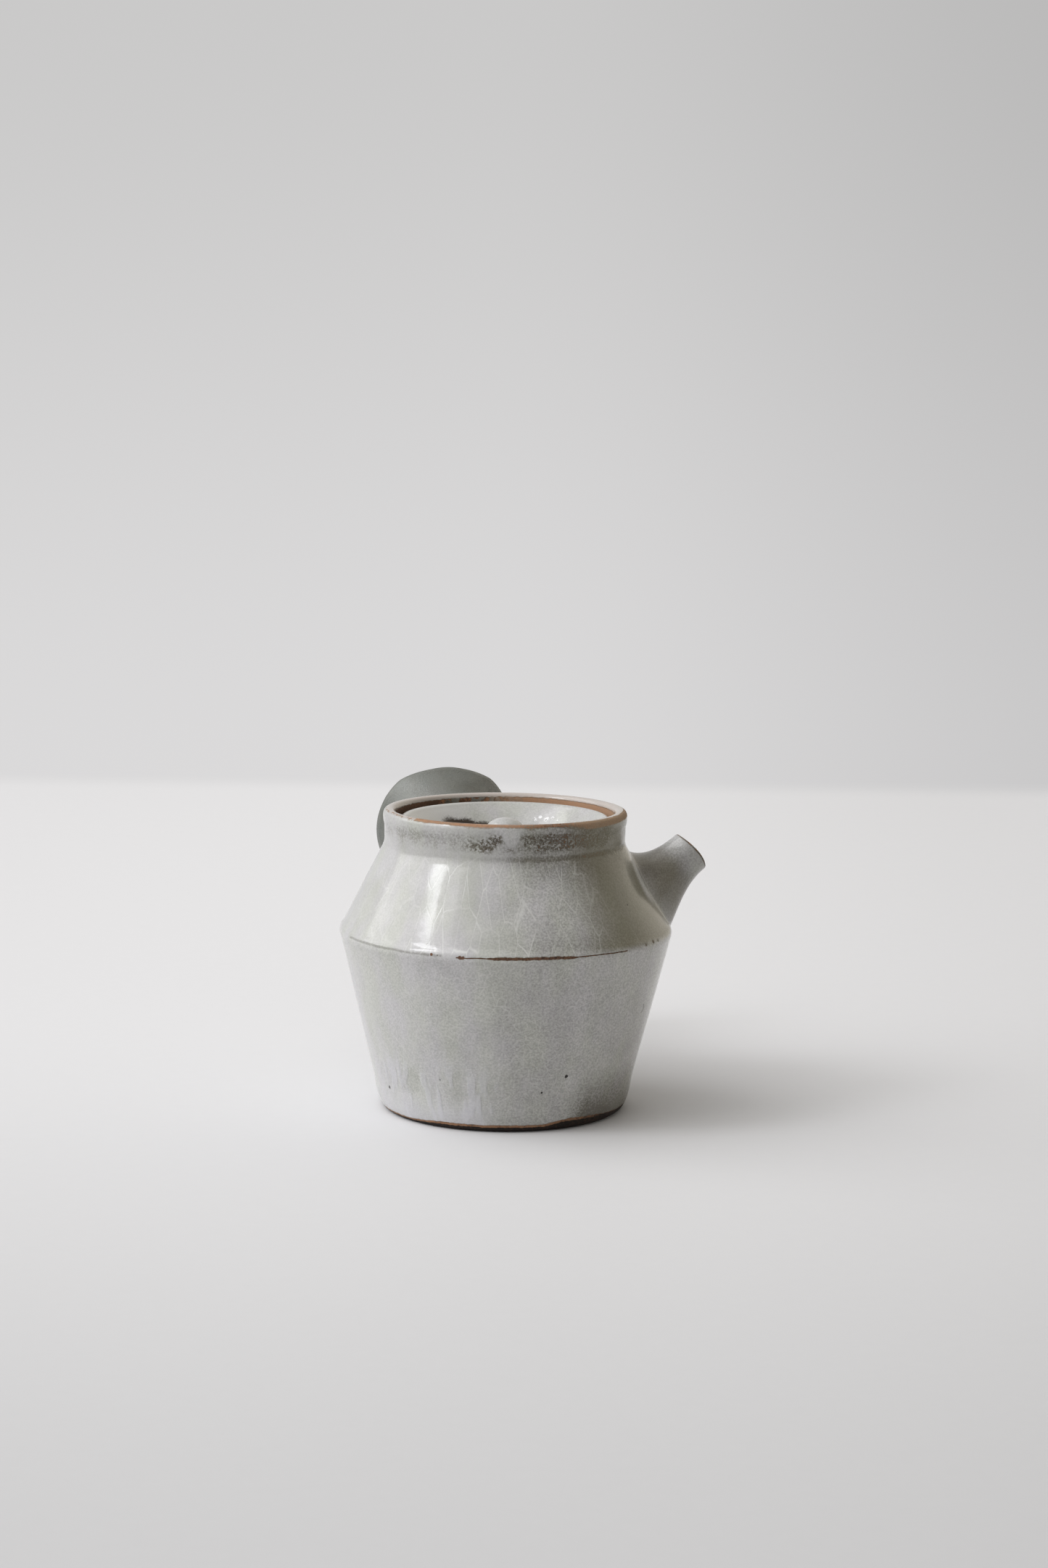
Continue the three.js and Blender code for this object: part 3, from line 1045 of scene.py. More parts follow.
@dataclass
class ThrownBody(Piece):
    """The body: two cones that meet at a sharp shoulder, a collar, and the gallery inside."""

    name = "thrown_body"
    node = "body"
    finish_name = "body_glaze"

    base_radius: float = 30.6
    foot_radius: float = 34.2
    foot_height: float = 8.6
    shoulder_radius: float = 44.0
    shoulder_height: float = 47.8
    collar_radius: float = 31.6
    collar_bottom: float = 70.8
    lip_bulge: float = 0.45
    rim_radius: float = 30.4
    rim_height: float = 79.4
    mouth_radius: float = 28.9
    ledge_height: float = 74.3
    throat_radius: float = 25.2
    wall: float = 3.2
    floor: float = 4.0
    spout_foot_height: float = 58.4
    spout_hole_radius: float = 8.0
    spout_hole_length: float = 19.0
    spout_hole_sides: int = 64
    farthest: float = 40.0
    halvings: int = 30
    sides: int = 240

    def outside(self, steps: int = 12) -> Rib:
        """The outside, from the edge of the base to the crown of the rim.

        Args:
            steps: How finely its curves are cut.

        Returns:
            The outline.
        """
        base, foot, shoulder = self.base_radius, self.foot_radius, self.shoulder_radius
        collar, bulge = self.collar_radius, self.collar_radius + self.lip_bulge
        crease, root, top = self.shoulder_height, self.collar_bottom, self.rim_height
        rib = Rib(base, 0.0)
        rib.straight(base + 1.2, 0.75, 3)
        rib.sweep((base + 2.4, 2.2), (foot - 0.5, 5.2), (foot, self.foot_height), steps=steps)
        rib.straight(shoulder - 0.5, crease - 1.9, 30)
        rib.bend((shoulder + 0.3, crease + 0.1), (shoulder - 1.2, crease + 1.6), steps)
        rib.straight(collar + 1.1, root - 2.4, 20)
        rib.bend((collar, root - 0.6), (collar, root + 0.8), steps)
        rib.straight(collar + 0.1, top - 4.0, 5)
        rib.bend((bulge, top - 3.0), (bulge, top - 1.9), steps)
        rib.bend((collar + 0.5, top), (self.rim_radius, top), steps)
        return rib

    def outline(self) -> Rib:
        """The whole wall: the outside, the gallery and the tea chamber, closed on the axis.

        Returns:
            The outline.
        """
        mouth, throat, ledge = self.mouth_radius, self.throat_radius, self.ledge_height
        root, crease, floor = self.collar_bottom, self.shoulder_height, self.floor
        widest, corner = self.shoulder_radius - self.wall, self.foot_radius - self.wall
        rib = Rib(0.0, 0.0)
        rib.straight(self.base_radius - 1.0, 0.0, 8)
        rib.points += self.outside().points
        rib.bend((mouth + 0.1, self.rim_height), (mouth, self.rim_height - 1.3), 6)
        rib.straight(mouth - 0.2, ledge + 0.5, 4)
        rib.bend((mouth - 0.2, ledge), (mouth - 0.7, ledge), 4)
        rib.straight(throat + 0.5, ledge, 2)
        rib.bend((throat, ledge), (throat, ledge - 0.5), 4)
        rib.straight(throat, ledge - 1.2)
        rib.bend((throat, root - 0.8), (throat + 3.2, root - 2.4), 8)
        rib.straight(widest - 0.8, crease + 0.6, 12)
        rib.bend((widest, crease - 1.0), (widest - 0.5, crease - 2.6), 8)
        rib.straight(corner + 0.4, self.foot_height + 2.0, 18)
        rib.bend((corner - 1.0, floor), (corner - 8.0, floor), 10)
        rib.straight(0.0, floor, 8)
        return rib

    def wall_frame(self) -> Branch:
        """The directions of the upper wall where the spout leaves it."""
        run = self.shoulder_radius - self.collar_radius - 1.0
        return Branch(0.0, math.atan2(run, self.collar_bottom - self.shoulder_height))

    def spout_seat(self) -> Vector:
        """Where the spout's middle meets the outside."""
        return Vector((self.outside().radius_at(self.spout_foot_height), 0.0, self.spout_foot_height))

    def seat_on(self, point: Vector, direction: Vector) -> Vector:
        """Slides a point along a direction until it meets the outside.

        Args:
            point: The point.
            direction: The direction, which points outwards.

        Returns:
            The point on the outside.
        """
        rib = self.outside(6)
        inside, outside = -self.farthest, self.farthest
        for _ in range(self.halvings):
            middle = (inside + outside) / 2
            tried = point + direction * middle
            if math.hypot(tried.x, tried.y) < rib.radius_at(tried.z):
                inside = middle
            else:
                outside = middle
        return point + direction * inside

    def shaped(self) -> Thing:
        """Throws the body and pierces it where the spout leaves.

        Returns:
            The bare piece.
        """
        hole, axis = bmesh.new(), self.wall_frame().axis
        size = (self.spout_hole_radius, self.spout_hole_length, self.spout_hole_sides)
        drill(hole, self.spout_seat(), axis, *size)
        return pierced(throw(self.outline(), self.sides), hole, self.name)

    def glaze(self, finish: Finish) -> Material:
        """The body's finish: pale on the cones, thin on the collar, bare at the foot and gallery, with
        painted shade on the right and at the foot, and painted light low on the left.

        Args:
            finish: The finish to mix.

        Returns:
            The material.
        """
        height = finish.height
        below, above = height.fall(47.0, 48.5), height.rise(47.4, 49.4)
        pooled = self.by_spout(finish) * above
        # Thinner, olive glaze on the shoulder's right, which also paints the shade of the side away from
        # the window.
        thin_side_and_shade = finish.facing(-35.0, 15.0, 27.0) * above
        thin_side_and_shade -= pooled * thin_side_and_shade
        thick = height.rise(68.0, 72.5, 0.95, 0.90) - thin_side_and_shade * 0.25 + pooled * 0.18
        # Painted shade: darker low on the shoulder's right, away from the window.
        thick -= finish.facing(-48.0, 42.0, 14.0) * height.fall(48.6, 56.0) * above * 0.13
        thick -= finish.facing(-91.0, 4.0, 16.0) * below * 0.06
        # Painted light: paler low on the left of the lower wall, towards the window.
        thick += finish.facing(-156.0, 18.0, 18.0) * below * 0.05
        thick -= finish.marks(Mark((-28.7, -20.1, 12.0), 4.4)) * 0.09
        thick = self.worn_crease(finish, self.worn_collar(finish, thick))
        thick, rust = self.bare_foot(finish, thick)
        thick, skin, tan_and_painted_light = self.worn_rim(finish, thick)
        pinholes = finish.marks(
            Mark((9.45, -34.54, 15.04), 0.52),
            Mark((3.03, -34.65, 10.95), 0.33),
            Mark((-32.34, -10.82, 8.26), 0.5, 0.9),
            Mark((-22.18, -27.69, 13.74), 0.3, 0.5),
            Mark((26.50, -27.54, 58.02), 0.25, 0.8),
            Mark((21.0, 27.3, 12.0), 0.4, 0.8),
            Mark((-13.0, 35.2, 24.0), 0.35, 0.7),
            Mark((-30.5, 22.5, 55.0), 0.3, 0.7),
        )
        runs = finish.cloud(2.6, 1.0, tall=0.16).rise(0.48, 0.62)
        milky = height.fall(2.0, 10.5) * finish.facing(-137.0, 16.0, 22.0)
        milky = milky * thick.rise(0.5, 0.8) * (runs * 0.35 + 0.45)
        low = height.rise(3.0, 7.0) * height.fall(12.0, 22.0)
        runs = runs * (low * finish.facing(-135.0, 22.0, 16.0))
        rough_side = finish.facing(-50.0, 26.0, 40.0) * (0.85 - below * 0.50)
        dent = finish.marks(Mark((31.56, -23.78, 29.92), 1.3))
        return finish.close(
            thick,
            craze=finish.facing(-98.0, 22.0, 26.0) * 0.90 + 0.48,
            grain=below * 0.35 + (rough_side + 0.38),
            holes=pinholes,
            layers=[
                Layer(thin_side_and_shade * 0.68, Tint.THIN_SIDE_AND_SHADE),
                Layer(milky, Tint.MILK),
                Layer(runs * 0.38, Tint.RUN),
                Layer(skin * 0.7, Tint.RIM_SKIN),
                Layer(tan_and_painted_light * 0.65, Tint.TAN_CLAY_AND_LIGHT),
                Layer(rust * 0.55, Tint.RUST),
            ],
            bumps=runs * 0.12 - dent * 0.45,
        )

    def by_spout(self, finish: Finish) -> Level:
        """The mask of the ring round the spout's foot where the glaze pools.

        Args:
            finish: The finish in hand.

        Returns:
            The mask.
        """
        from_seat = finish.vector("SUBTRACT", finish.place, tuple(self.spout_seat()))
        off_axis = finish.vector("CROSS_PRODUCT", from_seat, tuple(self.wall_frame().axis))
        ring = finish.measure("LENGTH", off_axis).fall(14.5, 18.5)
        return ring * finish.height.rise(54.0, 59.0) * finish.facing(0.0, 34.0, 14.0)

    def worn_collar(self, finish: Finish, thick: Level) -> Level:
        """Thins the glaze in a mottled band under the rim and in the groove at the collar's root.

        Args:
            finish: The finish in hand.
            thick: The thickness so far.

        Returns:
            The thickness.
        """
        height, front = finish.height, finish.facing(-82.0, 29.0, 12.0)
        thick -= finish.facing(-70.0, 17.0, 18.0) * height.rise(68.5, 72.0) * 0.17
        root = height.rise(62.0, 69.0) * height.fall(70.0, 72.0)
        thick -= root * finish.facing(-58.0, 26.0, 20.0) * 0.17
        middle = finish.cloud(8.0) * 1.6 + 74.6
        clumps = finish.cloud(5.0, 3.0, tall=1.3).rise(0.36, 0.58, 0.15, 1.0)
        sand = finish.cloud(0.62, 3.0, 0.7).rise(0.38, 0.60, 0.06, 1.75)
        band = abs(height - middle).fall(1.0, 3.2) * clumps * sand
        thick = (thick - band * (front * 0.46 + 0.13)).at_least(0.30)
        groove = abs(height - 71.2).fall(0.2, 1.1)
        thick -= groove * (front * 0.08 + (finish.facing(-60.0, 28.0, 18.0) * 0.13 + 0.02))
        drip = finish.marks(
            Mark((-5.0, -31.5, 78.6), 3.2, 0.5),
            Mark((-5.0, -31.5, 78.0), 2.2, 0.5),
            Mark((-5.1, -31.4, 76.7), 2.5, 0.9),
        )
        return thick.brought(drip, 0.95)

    def worn_crease(self, finish: Finish, thick: Level) -> Level:
        """Wears the glaze through along the shoulder's edge, most where the pot faces the spectator.

        Args:
            finish: The finish in hand.
            thick: The thickness so far.

        Returns:
            The thickness.
        """
        crease = finish.use(
            finish.workshop.line,
            height=self.shoulder_height + 0.05,
            half=finish.facing(-92.0, 12.5, 3.5) * 0.26 + 0.15,
            share=finish.facing(-87.0, 29.5, 3.0) * 0.75 - 0.10,
        )
        thick = thick.brought(crease["mask"], 0.055)
        faint = finish.use(
            finish.workshop.line,
            height=self.shoulder_height + 0.1,
            half=0.32,
            share=finish.facing(-146.0, 18.0, 8.0) * 0.55,
        )
        thick -= faint["mask"] * 0.22
        worn = finish.marks(
            Mark((-19.58, -39.10, 47.8), 0.62),
            Mark((-18.9, -39.4, 47.8), 0.5),
            Mark((-26.13, -34.93, 48.1), 0.42, 0.9),
            Mark((-27.0, -34.4, 48.5), 0.36, 0.8),
            Mark((-24.9, -36.0, 48.0), 0.34, 0.7),
            Mark((30.6, -31.2, 48.2), 0.5, 0.7),
            Mark((33.2, -28.4, 48.3), 0.6, 0.7),
            Mark((35.0, -26.2, 48.2), 0.5, 0.7),
        )
        return thick.brought(worn, 0.07)

    def bare_foot(self, finish: Finish, thick: Level) -> tuple[Level, Level]:
        """Leaves the clay bare under a wavy edge at the foot, and on the base, and paints the contact shade
        there near black, most on the right.

        Args:
            finish: The finish in hand.
            thick: The thickness so far.

        Returns:
            The thickness, and the mask of the rusty line along the edge.
        """
        near = finish.facing(-95.0, 30.0, 26.0)
        # Painted shade: the wall just above the foot is darker on the right, on the pot's shadow side.
        thick -= finish.facing(-38.0, 22.0, 14.0) * finish.height.fall(1.5, 17.0) * 0.52
        edge = finish.cloud(6.0, 4.0) * 0.5 + 0.42 + finish.cloud(1.1) * 0.5 + near * 0.52
        # On the right the edge stands higher, so the painted contact shade below it is taller.
        above = finish.height - (edge + finish.facing(-40.0, 30.0, 14.0) * 0.95)
        outer = finish.radius.rise(self.base_radius - 3.4, self.base_radius - 3.0)
        band = near * 0.25 + 0.40
        singed = above.fall(band - 0.15, band + 0.15)
        # Painted shade: the band under the edge is scorched orange, going to near black on the right.
        thick = thick.brought(singed * outer, 0.18 - finish.facing(-40.0, 34.0, 10.0) * 0.18)
        # Painted shade: below the edge and on the base the clay goes to the near-black stop of the contact
        # shadow.
        bare_shaded_bottom = (above.fall(-0.10, 0.10) * outer).at_least(finish.height.fall(0.05, 0.15))
        rusty = singed * (1.0 - bare_shaded_bottom) * finish.cloud(1.3).rise(0.36, 0.54, 0.25, 1.0)
        return thick.brought(bare_shaded_bottom, 0.0), rusty * finish.facing(-118.0, 52.0, 20.0)

    def worn_rim(self, finish: Finish, thick: Level) -> tuple[Level, Level, Level]:
        """Bares the inside of the collar and a ring on the rim, and paints light on the inside's lit back
        right.

        Args:
            finish: The finish in hand.
            thick: The thickness so far.

        Returns:
            The thickness, the mask of the white skin on the rim's crown, and that of the tan
            clay inside it, which also paints light on the lit back right of the inside.
        """
        height, radius, near_spout = finish.height, finish.radius, finish.facing(-34.0, 22.0, 18.0)
        crest = (height - (finish.cloud(1.2) * 0.6 + 77.8)).rise(-0.2, 0.3)
        inner = radius.fall(29.6, 30.0) * height.rise(71.4, 72.0) * (1.0 - crest)
        dusty = finish.facing(92.0, 12.0, 14.0) * finish.cloud(1.3).rise(0.4, 0.6)
        thick = thick.brought(inner, 0.075)
        # Painted light: the clay inside the collar is paler at the back right, where the window lights it;
        # the dusty patches in the middle are the clay's own.
        thick = thick + finish.facing(56.0, 22.0, 24.0) * inner * 0.10 + dusty * inner * 0.36
        crown = crest * radius.fall(31.3, 31.8)
        thick = thick.brought(crown, 0.66)
        far = finish.reach((0.0, 1.0, 0.0)).rise(-12.0, 12.0)
        middle = near_spout * 0.30 + (far * 0.45 + 31.1)
        away = abs(radius - middle + (finish.cloud(2.5, 3.0) * 0.6 - 0.3))
        half = 0.55 - far * 0.40 - finish.facing(178.0, 16.0, 14.0) * 0.22
        lowest = 78.45 - near_spout * 0.60
        patchy = finish.cloud(1.1, 3.0) - (finish.facing(176.0, 30.0, 10.0) * 0.30 + 0.18)
        ring = away.fall(half, half + 0.30) * height.rise(lowest, lowest + 0.4) * patchy.rise(0.0, 0.18)
        thick -= ring * (thick - finish.cloud(1.4).rise(0.34, 0.58, 0.09, 0.19))
        light = (near_spout * 0.55 + (finish.facing(-138.0, 32.0, 26.0) * 0.60 + 0.12)) * ring
        # The tan mask also paints light on the lit back right of the inside.
        return thick, crown * (1.0 - ring), finish.facing(38.0, 32.0, 24.0) * inner + light


@dataclass
class PulledSpout(Piece):
    """The spout: a short flared cone luted to the upper wall."""

    name = "pulled_spout"
    node = "spout"
    finish_name = "spout_glaze"

    body: ThrownBody
    reach: float = 50.6
    mouth_height: float = 67.15
    tilt: float = math.radians(39.0)
    mouth_radius: float = 5.8
    lip: float = 1.3
    lip_depth: float = 0.7
    foot_half_width: float = 12.0
    foot_half_length: float = 11.6
    foot_drop: float = 1.6
    heel_half_width: float = 8.2
    heel_half_length: float = 7.8
    heel_lift: float = 2.6
    chin_lift: float = 3.6
    mouth_bow: float = 0.8
    bore_radius: float = 8.0
    bore_depth: float = 1.5
    bore_run: float = 4.0
    neck: float = 6.5
    skirt: tuple[tuple[float, float], ...] = ((0.0, 0.12), (0.5, 0.02), (1.0, -0.05), (1.8, -0.3))
    sides: int = 96

    def mouth(self) -> Vector:
        """The middle of the mouth."""
        return Vector((self.reach, 0.0, self.mouth_height))

    def rings(self) -> list[Ring]:
        """The spout's rings: down its outside, a skirt under its foot, up its bore, round its lip.

        Returns:
            The rings, for pull.
        """
        tube, wall, seat = Branch(0.0, self.tilt), self.body.wall_frame(), self.body.spout_seat()
        core = self.mouth_radius - self.lip / 2

        def lip_at(angle: float) -> Vector:
            """The middle of the lip's back, which bows forward at both sides."""
            return self.mouth() + tube.axis * (self.mouth_bow * math.cos(angle) ** 2 - self.lip_depth)

        def long_at(angle: float) -> float:
            """Half the foot's length, which is most below."""
            return self.foot_half_length - self.foot_drop * math.sin(angle)

        def foot(angle: float, grown: float, lift: float) -> Vector:
            """A point of the foot, seated on the wall and lifted."""
            point = wall.around(seat, angle, self.foot_half_width + grown, long_at(angle) + grown)
            return self.body.seat_on(point, wall.axis) + wall.axis * lift

        def outer(angle: float) -> list[Vector]:
            """The controls of the outside's curve.

            Args:
                angle: The angle from the side.

            Returns:
                The four points.
            """
            up, chin = math.sin(angle), max(0.0, -math.sin(angle)) ** 2
            top = tube.circle(lip_at(angle), angle, self.mouth_radius)
            heel = wall.around(seat, angle, self.heel_half_width, self.heel_half_length - up)
            heel += wall.axis * (self.heel_lift + self.chin_lift * chin)
            return [top, top - tube.axis * self.neck, heel, foot(angle, *self.skirt[0])]

        def skirt(angle: float) -> list[Vector]:
            """The controls of the thin skirt that fades into the wall."""
            return [foot(angle, grown, lift) for grown, lift in self.skirt]

        def bore(angle: float) -> list[Vector]:
            """The controls of the bore's curve.

            Args:
                angle: The angle from the side.

            Returns:
                The four points.
            """
            start = self.body.seat_on(wall.circle(seat, angle, self.bore_radius), wall.axis)
            deep = start - wall.axis * self.bore_depth
            top = tube.circle(lip_at(angle), angle, self.mouth_radius - self.lip)
            return [deep, deep + wall.axis * self.bore_run, top - tube.axis * self.neck, top]

        def crown(angle: float, turn: float) -> Vector:
            """A point of the round lip, by the turn from its inner edge."""
            middle = lip_at(angle) + tube.axis * self.lip_depth * math.sin(turn)
            return tube.circle(middle, angle, core - math.cos(turn) * self.lip / 2)

        lips = [lambda angle, turn=math.pi * step / 7: crown(angle, turn) for step in range(1, 7)]
        return along(outer, 22) + along(skirt, 4)[1:] + along(bore, 14) + lips

    def shaped(self) -> Thing:
        """Pulls the spout."""
        return meshed(pull(self.rings(), self.sides), self.name)

    def glaze(self, finish: Finish) -> Material:
        """The spout's finish: pale at the mouth, thin and olive over the middle, where the collar's shade
        is also painted.

        Args:
            finish: The finish to mix.

        Returns:
            The material.
        """
        back = finish.reach(-Branch(0.0, self.tilt).axis, self.mouth())
        aside = finish.reach((0.0, 1.0, 0.0)) * (1 / self.mouth_radius)
        worn = (back + aside * aside * self.mouth_bow).fall(0.35, 0.75)
        # Over the middle the glaze is thinner and olive; this is partly its own colour and partly painted
        # shade, where the collar shades the spout.
        thick = back.rise(1.5, 8.5, 0.84, 0.58) + back.rise(12.0, 20.0, 0.0, 0.28)
        thick -= worn * finish.cloud(1.5).rise(0.25, 0.45) * 0.62
        olive = back.rise(4.0, 9.0) * back.rise(11.0, 19.0, 0.5, 0.1)
        return finish.close(thick, craze=0.15, grain=0.8, layers=[Layer(olive, Tint.SPOUT_OLIVE_AND_SHADE)])


@dataclass
class PiercedStrainer(Piece):
    """The strainer: a thin clay dome over the spout's hole, pierced ring by ring."""

    name = "pierced_strainer"
    node = "strainer"
    finish_name = "strainer_clay"
    slot = Slot.BARE_CLAY

    body: ThrownBody
    radius: float = 11.6
    wall: float = 1.8
    rise: float = 8.0
    overlap: float = 1.2
    hole_radius: float = 1.0
    hole_length: float = 4.32
    hole_sides: int = 14
    step: float = math.radians(15.0)
    ring_count: int = 3

    def holes(self, centre: Vector, way: Branch) -> Shape:
        """The cutters of the holes, which radiate from the dome's centre.

        Args:
            centre: The dome's centre.
            way: The wall's directions.

        Returns:
            The cutters.
        """
        tools = bmesh.new()
        for ring in range(self.ring_count + 1):
            holes, spread = max(1, 6 * ring), ring * self.step
            for index in range(holes):
                angle = math.tau * (index + ring / 2) / holes
                direction = way.circle(Vector(), angle, math.sin(spread))
                direction = (direction - way.axis * math.cos(spread)).normalized()
                middle = centre + direction * (self.radius - self.wall / 2)
                drill(tools, middle, direction, self.hole_radius, self.hole_length, self.hole_sides)
        return tools

    def shaped(self) -> Thing:
        """Presses the dome, cuts it to the wall and pierces it.

        Returns:
            The bare piece.
        """
        way, seat = self.body.wall_frame(), self.body.spout_seat()
        centre = seat - way.axis * (self.body.wall + self.rise - self.radius)
        shape = bmesh.new()
        bmesh.ops.create_uvsphere(
            shape,
            u_segments=72,
            v_segments=36,
            radius=self.radius - self.wall,
            matrix=aimed(centre, -way.axis),
        )
        edge = seat - way.axis * (self.body.wall - self.overlap)
        whole = list(shape.verts) + list(shape.edges) + list(shape.faces)
        bmesh.ops.bisect_plane(shape, geom=whole, plane_co=edge, plane_no=way.axis, clear_outer=True)
        bmesh.ops.recalc_face_normals(shape, faces=shape.faces)
        bmesh.ops.solidify(shape, geom=list(shape.faces), thickness=-self.wall)
        bmesh.ops.recalc_face_normals(shape, faces=shape.faces)
        return pierced(shape, self.holes(centre, way), self.name)

    def glaze(self, finish: Finish) -> Material:
        """The strainer's finish: bare brown clay."""
        return finish.close(finish.cloud(3.0, 3.0) * 0.16, craze=0.0)


@dataclass
class TrumpetHandle(Piece):
    """The handle: a hollow trumpet, widest at its open end, luted a quarter turn from the spout."""

    name = "trumpet_handle"
    node = "handle"
    finish_name = "handle_glaze"

    body: ThrownBody
    tilt: float = math.radians(10.0)
    axis_height: float = 45.0
    reach: float = 89.6
    waist_radius: float = 10.2
    bell_radius: float = 19.5
    root_radius: float = 12.8
    wall: float = 3.2
    waist_reach: float = 53.0
    taper_reach: float = 68.0
    flare_reach: float = 79.5
    flare_radius: float = 14.0
    lip_depth: float = 1.2
    lip_crown: float = 0.4
    lip_wave: float = 0.22
    bore_depth: float = 1.5
    skirt: tuple[tuple[float, float], ...] = ((0.0, 0.12), (0.4, 0.02), (0.9, -0.08), (1.5, -0.35))
    sides: int = 120

    def way(self) -> Branch:
        """The handle's directions."""
        return Branch(math.pi / 2, self.tilt)

    def rings(self) -> list[Ring]:
        """The handle's rings: from the bell to the root, a skirt, up the bore, round the lip.

        Returns:
            The rings, for pull.
        """
        way, start = self.way(), UP * self.axis_height
        bell, flare, waist = self.bell_radius, self.flare_radius, self.waist_radius
        bore_end, bore_flare, bore_waist = (radius - self.wall for radius in (bell, flare, waist))
        back, front = -self.lip_depth, self.lip_crown
        corners = ((bore_end, back), (bore_end + 0.2, front), (bell - 0.2, front), (bell, back))

        def at(angle: float, radius: float, reach: float) -> Vector:
            """A point about the axis."""
            return way.circle(start + way.axis * reach, angle, radius)

        def lip_at(angle: float, radius: float, past: float) -> Vector:
            """A point of the lip, which wanders along the axis."""
            wave = self.lip_wave * (math.sin(3 * angle + 0.6) + 0.6 * math.sin(7 * angle + 2.0))
            return at(angle, radius, self.reach + past + wave)

        def root_at(angle: float, radius: float, lift: float) -> Vector:
            """A point seated on the wall and lifted along the axis."""
            return self.body.seat_on(at(angle, radius, self.waist_reach), way.axis) + way.axis * lift

        def outer(angle: float) -> list[Vector]:
            """The controls from the bell's edge to the waist."""
            waists = [at(angle, waist, self.taper_reach), at(angle, waist, self.waist_reach)]
            return [lip_at(angle, bell, back), at(angle, flare, self.flare_reach), *waists]

        def root(angle: float) -> list[Vector]:
            """The controls from the waist to the root."""
            seated = ((waist, 3.5), (waist + 0.3, 1.0), (self.root_radius, self.skirt[0][1]))
            return [at(angle, waist, self.waist_reach), *(root_at(angle, *each) for each in seated)]

        def skirt(angle: float) -> list[Vector]:
            """The controls of the thin skirt that fades into the wall."""
            return [root_at(angle, self.root_radius + grown, lift) for grown, lift in self.skirt]

        def bore(angle: float) -> list[Vector]:
            """The controls of the bore."""
            waists = [root_at(angle, bore_waist, -self.bore_depth), at(angle, bore_waist, self.taper_reach)]
            return [*waists, at(angle, bore_flare, self.flare_reach), lip_at(angle, bore_end, back)]

        def lip(angle: float) -> list[Vector]:
            """The controls of the round lip."""
            return [lip_at(angle, *corner) for corner in corners]

        rings = along(outer, 24) + along(root, 14)[1:] + along(skirt, 4)[1:]
        return rings + along(bore, 24) + along(lip, 8)[1:-1]

    def shaped(self) -> Thing:
        """Pulls the handle."""
        return meshed(pull(self.rings(), self.sides), self.name)

    def glaze(self, finish: Finish) -> Material:
        """The handle's finish: darker and greener towards the bell and on the spout's side, with a brown
        line round the lip.

        Args:
            finish: The finish to mix.

        Returns:
            The material.
        """
        reach = finish.reach(self.way().axis, UP * self.axis_height)
        thick = reach.rise(46.0, 66.0, 0.86, 0.49)
        thick -= finish.reach((1.0, 0.0, 0.0)).rise(-8.0, 4.0) * 0.06
        thick -= finish.cloud(9.0, 3.0).rise(0.4, 0.65) * 0.08
        worn = reach.rise(self.reach - self.lip_depth, self.reach - 0.4)
        thick -= worn * finish.cloud(2.0, 3.0).rise(0.3, 0.55) * 0.26
        cool = (finish.cloud(6.0) * 0.6 + 0.35) * reach.rise(60.0, 70.0)
        return finish.close(thick, craze=0.5, layers=[Layer(cool, Tint.HANDLE_COOL)])


# The cover


